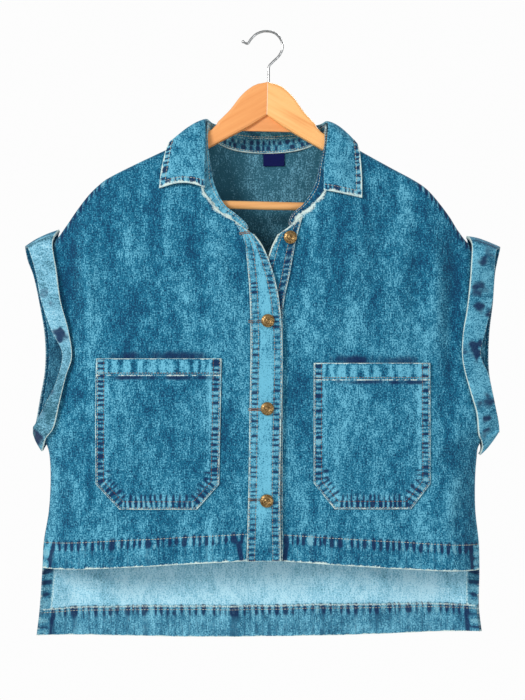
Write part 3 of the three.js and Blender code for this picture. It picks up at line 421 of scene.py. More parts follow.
def lattice(a: Array, b: Array, seed: int) -> Array:
    """Repeatable random values at whole numbers.

    Args:
        a: first whole number.
        b: second whole number.
        seed: which of many.

    Returns:
        Values from -1 to 1.
    """
    mask = 0xFFFFFFFF
    value = (a * 374761393 + b * 668265263 + seed * 1442695041) & mask
    value = ((value ^ (value >> 13)) * 1274126177) & mask
    return ((value ^ (value >> 16)) & 0xFFFF) / 32767.5 - 1


def noise(x: Array | float, y: Array | float, seed: int) -> Array:
    """Smooth noise from -1 to 1, with a period of about one unit.

    Args:
        x: first coordinate.
        y: second coordinate.
        seed: which noise.

    Returns:
        The noise at each place.
    """
    x, y = np.broadcast_arrays(np.asarray(x, float), np.asarray(y, float))
    cell_x = np.floor(x).astype(np.int64)
    cell_y = np.floor(y).astype(np.int64)
    share_x = ease(x - cell_x)
    share_y = ease(y - cell_y)
    low = mix(lattice(cell_x, cell_y, seed), lattice(cell_x + 1, cell_y, seed), share_x)
    high = mix(lattice(cell_x, cell_y + 1, seed), lattice(cell_x + 1, cell_y + 1, seed), share_x)
    return mix(low, high, share_y)


def by_side(table: Table, key: str, place: Array, x: Array, suffix: str = "") -> Array:
    """A table's value for the side that each x lies on.

    Args:
        table: a table with a column for each side.
        key: the column that the place is on.
        place: the place or places.
        x: places across, whose sign tells the side.
        suffix: what follows the side in the column's name.

    Returns:
        The values.
    """
    right = table.along(key, place, "right" + suffix)
    left = table.along(key, place, "left" + suffix)
    return np.where(np.asarray(x) < 0, right, left)


def shoulder_z(x: Array) -> Array:
    """Height of the shoulder line.

    Args:
        x: places across.

    Returns:
        Z over each place.
    """
    out = np.abs(x)
    right = SHOULDER.along("right", out, "right_z")
    left = SHOULDER.along("left", out, "left_z")
    first = SHOULDER.rows[0]
    right = np.where(out < first[1], first[2] + (first[1] - out) * NECK_SLOPE, right)
    left = np.where(out < first[3], first[4] + (first[3] - out) * NECK_SLOPE, left)
    return np.where(np.asarray(x) < 0, right, left)


def fold_height(rows: Sequence[FoldRow], x: Array, z: Array) -> Array:
    """Height of a face's soft folds.

    Args:
        rows: the folds.
        x: places across.
        z: heights.

    Returns:
        The sum of the folds at each place.
    """
    height = np.zeros(np.broadcast(x, z).shape)
    for x1, z1, x2, z2, half, depth in rows:
        dx, dz = x2 - x1, z2 - z1
        near = np.clip(((x - x1) * dx + (z - z1) * dz) / (dx * dx + dz * dz), 0, 1)
        far = np.hypot(x - x1 - near * dx, z - z1 - near * dz)
        fade = 0.3 + 0.7 * np.sin(np.pi * near)
        height += depth * fade * hill(far, half)
    return height


def middle_y(x: Array, z: Array) -> Array:
    """Depth of the plane half way between front and back."""
    drop = np.maximum(0, shoulder_z(x) - z)
    return MIDDLE.along("out", np.abs(x), "y") * (1 - ease(drop / 160))


def soft_least(a: Array, b: Array) -> Array:
    """The smaller of two lengths, blended where they are alike."""
    safe = np.maximum(a, 1e-3)
    return np.where(a <= 0, 0, (safe**-4.0 + b**-4.0) ** -0.25)


def cloth_y(face: Face, x: Array, z: Array) -> Array:
    """Depth of the cloth's outer face.

    Args:
        face: front or back.
        x: places across.
        z: heights.

    Returns:
        Y at each place.
    """
    x, z = np.broadcast_arrays(np.asarray(x, float), np.asarray(z, float))
    out = np.abs(x)
    drop = np.maximum(0, shoulder_z(x) - z)
    inward = by_side(SIDE_LINE, "z", z, x) - out
    if face is Face.FRONT:
        spread = mix(0.34, 0.14, ease((out - 60) / 140))
        tail = np.zeros_like(z)
    else:
        spread = mix(0.55, 0.12, ease(out / 120))
        tail = 0.6 * ease((-605 - z) / 70)
    most = DEPTHS.along("z", z, face.name) * (1 - SLEEVE_FLAT * ease((out - 200) / 60))
    fall = ARM_HALF_SPREAD * quarter_round(drop / ARM_ROUND) + spread * np.maximum(0, drop - ARM_ROUND)
    turn = mix(quarter_round(inward / SIDE_ROUND), 1, tail)
    folds = fold_height(FOLDS[face], x, z) + fold_height(CREASES[face], x, z)
    ripple = 0.7 * noise(x / 30 + 0.3 * z / 30, z / 75, 11) + 0.3 * noise(x / 11, z / 34, 12)
    half = SEAM_GAP / 2 + soft_least(fall, most) * turn + (folds + ripple) * turn * ease(drop / 30)
    return middle_y(x, z) + face.value * half


def front_y(side: Side, x: Array, z: Array) -> Array:
    """Depth of a front's outer face. The left one lies behind the right one near the centre."""
    lap = UNDERLAP * (1 - ease((x - 34) / 50)) * ease((-225 - z) / 55)
    return cloth_y(Face.FRONT, x, z) + (lap if side is Side.LEFT else 0)


def side_edge(face: Face, side: Side, v: Array) -> tuple[Array, Array]:
    """A side edge: the closed seam below the underarm, the sleeve's end above it.

    Args:
        face: front or back.
        side: the wearer's side.
        v: shares up the edge.

    Returns:
        X and Z of each place.
    """
    height = SEAM_HEIGHTS[face].along("v", v, side.label + "_z")
    seam = SIDE_LINE.along("z", height, side.label)
    end = SLEEVE_END[face]
    low = v <= V_UNDERARM
    out = np.where(low, seam, end.along("v", v, side.label))
    return side.value * out, np.where(low, height, end.along("v", v, side.label + "_z"))


def centre_edge(side: Side, v: Array) -> tuple[Array, Array]:
    """The centre edge and neckline of a front."""
    name = side.label
    return side.value * CENTRE_EDGE.along("v", v, name), CENTRE_EDGE.along("v", v, name + "_z")


def shoulder_edge(side: Side, u: Array) -> tuple[Array, Array]:
    """The shoulder line, from the neck out."""
    return side.value * SHOULDER.along("u", u, side.label), SHOULDER.along("u", u, side.label + "_z")


def back_top(u: Array) -> tuple[Array, Array]:
    """The back's top edge: right shoulder, neck, left shoulder.

    Args:
        u: shares across.

    Returns:
        X and Z of each place.
    """
    right = shoulder_edge(Side.RIGHT, 1 - u / NECK_U)
    left = shoulder_edge(Side.LEFT, 1 - (1 - u) / NECK_U)
    neck = (BACK_NECK.along("u", u, "x"), BACK_NECK.along("u", u, "z"))
    pick = [u <= NECK_U, u >= 1 - NECK_U]
    return tuple(np.select(pick, [right[i], left[i]], neck[i]) for i in range(2))


def blend_inside(bottom: Array, top: Array, start: Array, end: Array, u: Array, v: Array) -> Array:
    """Places inside four edges, blended from them.

    Args:
        bottom: points of the low edge, one for each u.
        top: points of the high edge, one for each u.
        start: points of the edge at u = 0, one for each v.
        end: points of the edge at u = 1, one for each v.
        u: shares across.
        v: shares up.

    Returns:
        Rows by columns of (x, z).
    """
    share_u = u[None, :, None]
    share_v = v[:, None, None]
    across = mix(start[:, None], end[:, None], share_u)
    up = mix(bottom[None], top[None], share_v)
    low = mix(bottom[0], bottom[-1], share_u)
    high = mix(top[0], top[-1], share_u)
    return across + up - mix(low, high, share_v)


def refine(knots: Sequence[float], length: float, step: float) -> Array:
    """Grid lines through the given ones.

    Args:
        knots: the lines that have to be there.
        length: the length that one unit stands for.
        step: the most between two lines.

    Returns:
        The lines' places.
    """
    parts = [
        np.linspace(a, b, max(1, math.ceil((b - a) * length / step)), endpoint=False)
        for a, b in zip(knots, knots[1:])
    ]
    return np.append(np.concatenate(parts), knots[-1])


def smooth_path(points: Array, per_span: int, closed: bool = False) -> Array:
    """Points of a uniform Catmull-Rom curve through the given ones.

    Args:
        points: the places that it passes.
        per_span: steps between two of them.
        closed: whether it returns to the first.

    Returns:
        The curve's points.
    """
    count = len(points)
    spans = count if closed else count - 1
    if closed:
        wide = np.concatenate([points[-1:], points, points[:2]])
    else:
        wide = np.concatenate([2 * points[:1] - points[1:2], points, 2 * points[-1:] - points[-2:-1]])
    steps = spans * per_span + (0 if closed else 1)
    place = np.arange(steps) / per_span
    low = np.minimum(place.astype(int), spans - 1)
    t = (place - low)[:, None]
    p0, p1, p2, p3 = (wide[low + i] for i in range(4))
    slope_a = 0.5 * (p2 - p0)
    slope_b = 0.5 * (p3 - p1)
    cubic = (2 * p1 - 2 * p2 + slope_a + slope_b) * t**3
    square = (-3 * p1 + 3 * p2 - 2 * slope_a - slope_b) * t**2
    return cubic + square + slope_a * t + p1


def path_distance(x: Array, z: Array, path: Array) -> tuple[Array, Array]:
    """Distance to a path in the XZ plane and length along it to the nearest point.

    Args:
        x: places across.
        z: heights.
        path: the path's (x, z) points.

    Returns:
        The distance and the length along the path, for each place.
    """
    best = np.full(x.shape, 1e9)
    length = np.zeros(x.shape)
    start = 0.0
    for (x1, z1), (x2, z2) in zip(path, path[1:]):
        dx, dz = x2 - x1, z2 - z1
        span = math.hypot(dx, dz)
        near = np.clip(((x - x1) * dx + (z - z1) * dz) / (span * span), 0, 1)
        far = np.hypot(x - x1 - near * dx, z - z1 - near * dz)
        length = np.where(far < best, start + near * span, length)
        best = np.minimum(best, far)
        start += span
    return best, length


def arc_lengths(points: Array) -> Array:
    """Length along a row of points to each of them."""
    steps = np.linalg.norm(np.diff(points, axis=0), axis=1)
    return np.concatenate([[0], np.cumsum(steps)])


def roping(along: Array, across: Array, period: float, seed: int) -> Array:
    """The uneven ridges that washing leaves along a stitched seam.

    Args:
        along: length along the seam.
        across: distance from the stitches.
        period: usual distance between ridges.
        seed: which of many.

    Returns:
        Values from -1, a dark hollow, to 1, a worn ridge.
    """
    phase = along / period + 0.5 * noise(along / (1.7 * period), 0, seed)
    wave = np.sin(2 * np.pi * (phase + 0.1 * noise(along / 3, across / 7, seed + 4)))
    strength = 0.8 + 0.3 * noise(along / (2.6 * period), across / 25, seed + 1)
    drift = 0.5 * noise(along / (0.9 * period), across / 5, seed + 2)
    return np.clip(1.1 * wave * strength + drift, -1, 1)


def frayed(edge: Array, along: Array, seed: int, width: float = 1.0) -> Array:
    """How worn and pale the cloth is beside a raw or folded edge.

    Args:
        edge: distance from the edge.
        along: length along it.
        seed: which of many.
        width: usual width of the worn strip.

    Returns:
        Values from 0 to about 1.1.
    """
    ragged = width * (1 + 0.5 * noise(along / 2.6, 0, seed) + 0.3 * noise(along / 9, 0, seed + 1))
    return (0.88 + 0.25 * noise(along / 5, 2, seed + 2)) * hill(edge, ragged)


def grid_normals(grid: Array, outward: int, seam: Array | None, closed: bool) -> Array:
    """Unit normals of a grid of points.

    Args:
        grid: rows by columns of points.
        outward: 1 or -1, which turns them round.
        seam: where cloth meets cloth, so the normal stays in the XZ plane.
        closed: whether the last column joins the first.

    Returns:
        The normals, rows by columns.
    """
    if closed:
        across = np.roll(grid, -1, axis=1) - np.roll(grid, 1, axis=1)
    else:
        across = np.gradient(grid, axis=1)
    normals = np.cross(across, np.gradient(grid, axis=0)) * outward
    if seam is not None:
        normals[seam, 1] = 0
    return normals / np.maximum(np.linalg.norm(normals, axis=2, keepdims=True), 1e-9)


@dataclass
class Shell:
    """A closed wall of cloth, between a grid of outer points and the same points moved in."""

    name: str
    grid: Array
    thick: Array | float
    outward: int = 1
    closed: bool = False
    seam: Array | None = None
    marks: dict[str, Array | float] = field(default_factory=dict)
    inner_marks: dict[str, Array | float] = field(default_factory=dict)
    weave: Array | None = None

    MARKS = ("wrong", "wear", "rope", "ink", "tone")

    def normals(self) -> Array:
        """Unit normals of the outer face."""
        return grid_normals(self.grid, self.outward, self.seam, self.closed)

    def faces(self) -> Array:
        """Numbers the quads of both faces and of the rims between them.

        Returns:
            Four point numbers a row.
        """
        rows, columns = self.grid.shape[:2]
        count = rows * columns
        number = np.arange(count).reshape(rows, columns)
        if self.closed:
            number = np.concatenate([number, number[:, :1]], axis=1)
        a, b, c, d = number[:-1, :-1], number[:-1, 1:], number[1:, 1:], number[1:, :-1]
        quads = [(a, b, c, d), (count + a, count + d, count + c, count + b)]
        low, high = number[0], number[-1]
        quads.append((low[:-1], count + low[:-1], count + low[1:], low[1:]))
        quads.append((high[1:], count + high[1:], count + high[:-1], high[:-1]))
        if not self.closed:
            start, end = number[:, 0], number[:, -1]
            quads.append((start[1:], count + start[1:], count + start[:-1], start[:-1]))
            quads.append((end[:-1], count + end[:-1], count + end[1:], end[1:]))
        faces = np.concatenate([np.stack([part.ravel() for part in quad], axis=1) for quad in quads])
        return faces if self.outward > 0 else faces[:, ::-1]

    def build(self) -> Object:
        """Makes the mesh with its marks.

        Returns:
            The new object, at the origin.
        """
        shape = self.grid.shape[:2]
        depth = np.broadcast_to(np.asarray(self.thick, float), shape)[..., None]
        inner = self.grid - self.normals() * depth
        points = np.concatenate([self.grid.reshape(-1, 3), inner.reshape(-1, 3)]) * MM
        mesh = bpy.data.meshes.new(self.name)
        mesh.from_pydata(points.tolist(), [], self.faces().tolist())
        mesh.shade_smooth()
        for mark in self.MARKS:
            outer = np.broadcast_to(np.asarray(self.marks.get(mark, 0.0), float), shape)
            default = 1.0 if mark == "wrong" else self.marks.get(mark, 0.0)
            back = np.broadcast_to(np.asarray(self.inner_marks.get(mark, default), float), shape)
            layer = mesh.attributes.new(mark, "FLOAT", "POINT")
            layer.data.foreach_set("value", np.concatenate([outer.ravel(), back.ravel()]).astype(np.float32))
        weave = self.weave if self.weave is not None else self.grid[..., [0, 2]]
        offset = float(sum(map(ord, self.name)) % 97)
        flat = np.concatenate([weave.reshape(-1, 2) * MM] * 2)
        flat = np.column_stack([flat, np.full(len(flat), offset)])
        layer = mesh.attributes.new("weave", "FLOAT_VECTOR", "POINT")
        layer.data.foreach_set("vector", flat.ravel().astype(np.float32))
        return add_object(self.name, mesh)

    def hang(
        self,
        material: Material,
        slot: str,
        node: str,
        flat: tuple[float, float],
        rests_on: list[str],
        area: float | None = None,
    ) -> None:
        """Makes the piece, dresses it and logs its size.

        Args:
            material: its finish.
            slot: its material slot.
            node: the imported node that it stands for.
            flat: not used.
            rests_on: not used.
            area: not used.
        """
        piece = self.build()
        dress(piece, material, slot, node)
        self.report()

    def report(self) -> None:
        """Logs the cloth's widest and longest run and the area of its outer face."""
        grid = self.grid
        if self.closed:
            grid = np.concatenate([grid, grid[:, :1]], axis=1)
        first = np.cross(grid[:-1, 1:] - grid[:-1, :-1], grid[1:, 1:] - grid[:-1, :-1])
        second = np.cross(grid[1:, 1:] - grid[:-1, :-1], grid[1:, :-1] - grid[:-1, :-1])
        areas = np.linalg.norm(first, axis=2) + np.linalg.norm(second, axis=2)
        wide = np.linalg.norm(np.diff(grid, axis=1), axis=2).sum(axis=1).max()
        long = np.linalg.norm(np.diff(grid, axis=0), axis=2).sum(axis=0).max()
        area = areas.sum() / 2 * MM * MM
        LOG.info("%s: %.0f by %.0f mm, %.5f square metres", self.name, wide, long, area)


def linear(red: int, green: int, blue: int) -> Colour:
    """A colour as linear values.

    Args:
        red: red in sRGB, from 0 to 255.
        green: green, likewise.
        blue: blue, likewise.

    Returns:
        The three values, from 0 to 1.
    """
    values = []
    for value in (red, green, blue):
        share = value / 255
        values.append(share / 12.92 if share <= 0.04045 else ((share + 0.055) / 1.055) ** 2.4)
    return tuple(values)


class NodeTree:
    """A material's nodes, with short calls to add and join them."""

    def __init__(self, name: str) -> None:
        """Makes a new material with an empty tree.

        Args:
            name: the material's name.
        """
        self.material = bpy.data.materials.new(name)
        self.material.use_nodes = True
        self.tree = self.material.node_tree
        self.tree.nodes.clear()
        self.output = self.tree.nodes.new("ShaderNodeOutputMaterial")

    def put(self, socket: NodeSocket, value: object) -> None:
        """Joins a socket to another one, or sets its value.

        Args:
            socket: the socket to fill.
            value: another socket, a colour or a plain value.
        """
        if isinstance(value, NodeSocket):
            self.tree.links.new(value, socket)
        elif isinstance(value, tuple) and len(value) == 3 and socket.type == "RGBA":
            socket.default_value = (*value, 1)
        else:
            socket.default_value = value

    def node(self, kind: str, inputs: dict[str | int, object], **settings: object) -> Node:
        """Adds a node.

        Args:
            kind: the node's type.
            inputs: what each socket gets, by name or number.
            settings: the node's own settings.

        Returns:
            The new node.
        """
        node = self.tree.nodes.new(kind)
        for key, value in settings.items():
            setattr(node, key, value)
        for key, value in inputs.items():
            self.put(node.inputs[key], value)
        return node

    def mark(self, name: str) -> NodeSocket:
        """A number that each point of the mesh carries."""
        return self.node("ShaderNodeAttribute", {}, attribute_name=name).outputs["Fac"]

    def math(self, operation: str, *values: object, clamp: bool = False) -> NodeSocket:
        """A sum of one, two or three values."""
        inputs = dict(enumerate(values))
        return self.node("ShaderNodeMath", inputs, operation=operation, use_clamp=clamp).outputs[0]

    def blend(self, share: object, first: object, second: object) -> NodeSocket:
        """A colour between two."""
        return self.node("ShaderNodeMix", {0: share, 6: first, 7: second}, data_type="RGBA").outputs[2]

    def reach(
        self, value: object, low: float, high: float, to_low: float = 0, to_high: float = 1
    ) -> NodeSocket:
        """A value moved from one range to another, and held inside it."""
        inputs = {0: value, 1: low, 2: high, 3: to_low, 4: to_high}
        return self.node("ShaderNodeMapRange", inputs, interpolation_type="SMOOTHSTEP").outputs[0]

    def noise(
        self, place: object, stretch: tuple[float, float, float], detail: float = 2
    ) -> NodeSocket:
        """Noise at a place, after that is stretched.

        Args:
            place: where it is read.
            stretch: how often it repeats along each axis.
            detail: how many finer layers it has.

        Returns:
            The noise, from 0 to 1.
        """
        spot = self.node("ShaderNodeMapping", {"Vector": place, "Scale": stretch}).outputs[0]
        inputs = {"Vector": spot, "Scale": 1.0, "Detail": detail, "Roughness": 0.55}
        return self.node("ShaderNodeTexNoise", inputs).outputs[0]

    def ramp(self, value: object, stops: Sequence[tuple[float, Colour]]) -> NodeSocket:
        """A colour read off a row of stops.

        Args:
            value: the place on the row.
            stops: the place and colour of each stop.

        Returns:
            The colour.
        """
        node = self.node("ShaderNodeValToRGB", {"Fac": value})
        elements = node.color_ramp.elements
        while len(elements) < len(stops):
            elements.new(0.5)
        for element, (place, colour) in zip(elements, stops):
            element.position = place
            element.color = (*colour, 1)
        return node.outputs[0]

    def bump(self, height: object, strength: float, distance: float) -> NodeSocket:
        """A normal from a height."""
        inputs = {"Strength": strength, "Distance": distance, "Height": height}
        return self.node("ShaderNodeBump", inputs).outputs[0]

    def shader(self, inputs: dict[str, object]) -> Material:
        """Adds the surface shader and joins it to the output.

        Args:
            inputs: what each of its sockets gets.

        Returns:
            The finished material.
        """
        shader = self.node("ShaderNodeBsdfPrincipled", inputs)
        self.tree.links.new(shader.outputs[0], self.output.inputs[0])
        return self.material


@dataclass(frozen=True)
class DenimFinish:
    """Stone-washed denim, with its pale wrong side, worn edges, roped seams, ink-blue marks, and the painted
    shade and highlights that its tone and ink marks carry.
    """

    name: str = "washed_denim"
    deep: Colour = linear(2, 58, 92)
    middle: Colour = linear(18, 106, 138)
    pale: Colour = linear(106, 182, 208)
    wrong_deep: Colour = linear(46, 100, 116)
    wrong_middle: Colour = linear(126, 188, 212)
    wrong_pale: Colour = linear(188, 230, 244)
    ink: Colour = linear(8, 32, 74)
    ridge: Colour = linear(124, 182, 200)
    worn: Colour = linear(208, 226, 220)

    def make(self) -> Material:
        """Builds the material.

        Returns:
            The material, read from the marks that each cloth piece carries.
        """
        nodes = NodeTree(self.name)
        place = nodes.node("ShaderNodeAttribute", {}, attribute_name="weave").outputs["Vector"]
        slub = nodes.noise(place, (560, 120, 1), 2)
        grain = nodes.noise(place, (680, 560, 1), 3)
        cloud = nodes.noise(place, (30, 13, 1), 3)
        patch = nodes.noise(place, (120, 62, 1), 2)
        wash = nodes.math("MULTIPLY_ADD", slub, 0.9, -0.45)
        wash = nodes.math("MULTIPLY_ADD", grain, 2.1, nodes.math("SUBTRACT", wash, 1.05))
        wash = nodes.math("MULTIPLY_ADD", cloud, 0.75, nodes.math("SUBTRACT", wash, 0.375))
        wash = nodes.math("MULTIPLY_ADD", patch, 0.8, nodes.math("SUBTRACT", wash, 0.4))
        # The tone mark holds random wash, and painted shade and highlight that follow the folds; some pieces
        # add more painted shade or light to it.
        tone = nodes.mark("tone")
        level = nodes.math("ADD", nodes.math("ADD", wash, 0.5), nodes.math("MULTIPLY", tone, 0.3), clamp=True)
        right = nodes.ramp(level, ((0.1, self.deep), (0.5, self.middle), (0.92, self.pale)))
        calm = nodes.math("MULTIPLY_ADD", nodes.math("SUBTRACT", level, 0.5), 0.8, 0.5)
        wrong = nodes.ramp(calm, ((0.1, self.wrong_deep), (0.5, self.wrong_middle), (0.92, self.wrong_pale)))
        colour = nodes.blend(nodes.mark("wrong"), right, wrong)

        rope = nodes.mark("rope")
        ragged = nodes.math("MULTIPLY_ADD", grain, 1.6, -0.8)
        ridge = nodes.reach(nodes.math("ADD", rope, ragged), 0.1, 0.95, 0, 0.75)
        hollow = nodes.reach(nodes.math("SUBTRACT", ragged, rope), 0.1, 0.75, 0, 0.9)
        colour = nodes.blend(ridge, colour, self.ridge)
        colour = nodes.blend(hollow, colour, self.ink)
        # The ink mark holds real blots, and a painted shadow over the pockets' top edges.
        blot = nodes.math("ADD", nodes.mark("ink"), nodes.math("MULTIPLY_ADD", patch, 1.1, -0.55))
        blot = nodes.math("ADD", blot, nodes.math("MULTIPLY", ragged, 0.35))
        colour = nodes.blend(nodes.reach(blot, 0.2, 1.05, 0, 0.92), colour, self.ink)
        thin = nodes.math("ADD", nodes.mark("wear"), nodes.math("MULTIPLY", ragged, 0.7))
        colour = nodes.blend(nodes.reach(thin, 0.3, 0.8, 0, 0.95), colour, self.worn)

        twill = nodes.node("ShaderNodeMapping", {"Vector": place, "Rotation": (0, 0, math.radians(63))})
        lines = nodes.node(
            "ShaderNodeTexWave",
            {"Vector": twill.outputs[0], "Scale": 300.0, "Distortion": 1.5, "Detail": 1.0},
        ).outputs["Fac"]
        height = nodes.math("MULTIPLY_ADD", lines, 0.35, nodes.math("ADD", slub, grain))
        return nodes.shader(
            {
                "Base Color": colour,
                "Roughness": 0.92,
                "Specular IOR Level": 0.2,
                "Sheen Weight": 0.08,
                "Normal": nodes.bump(height, 0.55, 0.0006),
            }
        )


@dataclass(frozen=True)
class ThreadFinish:
    """Topstitching thread, from cream to rust."""

    name: str = "topstitch_thread"
    cream: Colour = linear(204, 206, 190)
    rust: Colour = linear(124, 80, 60)

    def make(self) -> Material:
        """Builds the material, from the rust mark of each stitch.

        Returns:
            The material.
        """
        nodes = NodeTree(self.name)
        colour = nodes.blend(nodes.mark("rust"), self.cream, self.rust)
        return nodes.shader({"Base Color": colour, "Roughness": 0.8, "Specular IOR Level": 0.25})


@dataclass(frozen=True)
class WoodFinish:
    """Varnished pale wood with a soft grain along the board."""

    name: str = "varnished_wood"
    pale: Colour = linear(250, 194, 126)
    middle: Colour = linear(246, 180, 108)
    dark: Colour = linear(226, 150, 80)
    lean: float = 0.0

    def make(self) -> Material:
        """Builds the material. The grain runs along X, leant by the board's slope.

        Returns:
            The material.
        """
        nodes = NodeTree(self.name)
        place = nodes.node("ShaderNodeTexCoord", {}).outputs["Object"]
        turned = nodes.node("ShaderNodeMapping", {"Vector": place, "Rotation": (0, self.lean, 0)}).outputs[0]
        grain = nodes.noise(turned, (9, 60, 210), 4)
        broad = nodes.noise(turned, (7, 20, 30), 2)
        level = nodes.math("MULTIPLY_ADD", broad, 0.5, nodes.math("MULTIPLY", grain, 0.5))
        colour = nodes.ramp(level, ((0.3, self.dark), (0.45, self.middle), (0.62, self.pale)))
        pore = nodes.noise(turned, (30, 160, 900), 2)
        colour = nodes.blend(nodes.reach(pore, 0.62, 0.8, 0, 0.35), colour, self.dark)
        return nodes.shader(
            {
                "Base Color": colour,
                "Roughness": nodes.reach(grain, 0.2, 0.8, 0.42, 0.55),
                "Coat Weight": 0.12,
                "Coat Roughness": 0.3,
                "Normal": nodes.bump(grain, 0.15, 0.0004),
            }
        )


@dataclass(frozen=True)
class MetalFinish:
    """Wire or cast metal, with a patina that breaks its gloss."""

    name: str
    bright: Colour
    dull: Colour
    smooth: float
    rough: float

    def make(self) -> Material:
        """Builds the material.

        Returns:
            The material.
        """
        nodes = NodeTree(self.name)
        place = nodes.node("ShaderNodeTexCoord", {}).outputs["Object"]
        patina = nodes.noise(place, (700, 700, 700), 4)
        colour = nodes.blend(nodes.reach(patina, 0.35, 0.7), self.bright, self.dull)
        return nodes.shader(
            {
                "Base Color": colour,
                "Metallic": 1.0,
                "Roughness": nodes.reach(patina, 0.3, 0.75, self.smooth, self.rough),
                "Normal": nodes.bump(patina, 0.1, 0.0002),
            }
        )


@dataclass(frozen=True)
class LabelFinish:
    """A plain woven label."""

    name: str = "woven_label"
    cloth: Colour = linear(6, 12, 60)
    light: Colour = linear(14, 24, 84)

    def make(self) -> Material:
        """Builds the material, with the ribs of its weave.

        Returns:
            The material.
        """
        nodes = NodeTree(self.name)
        place = nodes.node("ShaderNodeTexCoord", {}).outputs["Object"]
        ribs = nodes.noise(place, (300, 300, 2600), 1)
        colour = nodes.blend(ribs, self.cloth, self.light)
        return nodes.shader(
            {
                "Base Color": colour,
                "Roughness": 0.8,
                "Specular IOR Level": 0.12,
                "Normal": nodes.bump(ribs, 0.3, 0.0002),
            }
        )


@dataclass(frozen=True)
class FloorFinish:
    """A plain pale floor."""

    name: str = "pale_floor"
    colour: Colour = linear(236, 238, 236)

    def make(self) -> Material:
        """Builds the material."""
        return NodeTree(self.name).shader({"Base Color": self.colour, "Roughness": 0.9})


@dataclass
class Wardrobe:
    """The finishes that the pieces share."""

    denim: Material
    thread: Material
    wood: dict[str, Material]
    chrome: Material
    brass: Material
    label: Material

    @classmethod
    def make(cls) -> Wardrobe:
        """Builds every finish once.

        Returns:
            The finishes.
        """
        lean = math.radians(30)
        # Painted shade: the right arm, which the key light strikes more, and the block between the arms,
        # which lies in shade, get darker copies of the wood.
        shaded = (linear(240, 166, 98), linear(232, 152, 84), linear(206, 122, 58))
        inner = (linear(234, 160, 96), linear(224, 146, 82), linear(202, 120, 60))
        round_bar = (linear(236, 182, 120), linear(230, 168, 104), linear(208, 140, 78))
        woods = {
            "right": WoodFinish("varnished_wood_right", *shaded, lean=lean),
            "left": WoodFinish(name="varnished_wood_left", lean=-lean),
            "block": WoodFinish("varnished_wood_block", *inner),
            "bar": WoodFinish("varnished_wood_bar", *round_bar),
        }
        chrome = MetalFinish("hook_chrome", linear(214, 214, 214), linear(120, 120, 120), 0.12, 0.3)
        brass = MetalFinish("antique_brass", linear(176, 146, 98), linear(84, 56, 30), 0.3, 0.52)
        return cls(
            denim=DenimFinish().make(),
            thread=ThreadFinish().make(),
            wood={name: finish.make() for name, finish in woods.items()},
            chrome=chrome.make(),
            brass=brass.make(),
            label=LabelFinish().make(),
        )


def add_object(name: str, data: ID) -> Object:
    """Adds an object at the origin.

    Args:
        name: its name.
        data: its mesh, curve, lamp or camera.

    Returns:
        The object.
    """
    thing = bpy.data.objects.new(name, data)
    bpy.context.scene.collection.objects.link(thing)
    return thing


def clear_selection() -> None:
    """Leaves edit mode and selects nothing."""
    if bpy.context.object is not None and bpy.context.object.mode != "OBJECT":
        bpy.ops.object.mode_set(mode="OBJECT")
    bpy.ops.object.select_all(action="DESELECT")


def edit_all() -> None:
    """Opens the active object in edit mode, with all of it selected."""
    bpy.ops.object.mode_set(mode="EDIT")
    bpy.ops.mesh.select_all(action="SELECT")


def dress(piece: Object, material: Material, slot: str, *nodes: str) -> None:
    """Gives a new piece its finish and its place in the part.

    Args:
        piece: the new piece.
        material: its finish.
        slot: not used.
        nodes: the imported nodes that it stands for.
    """
    piece.data.materials.clear()
    piece.data.materials.append(material)
    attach(piece, BODY)
    if nodes:
        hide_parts(*nodes)
    LOG.info("%s: %d faces", piece.name, len(piece.data.polygons))


@dataclass(frozen=True)
class Thread:
    """How a row of stitches is sewn, in millimetres."""

    length: float = 2.5
    gap: float = 0.9
    radius: float = 0.36
    rust: float = 0.5


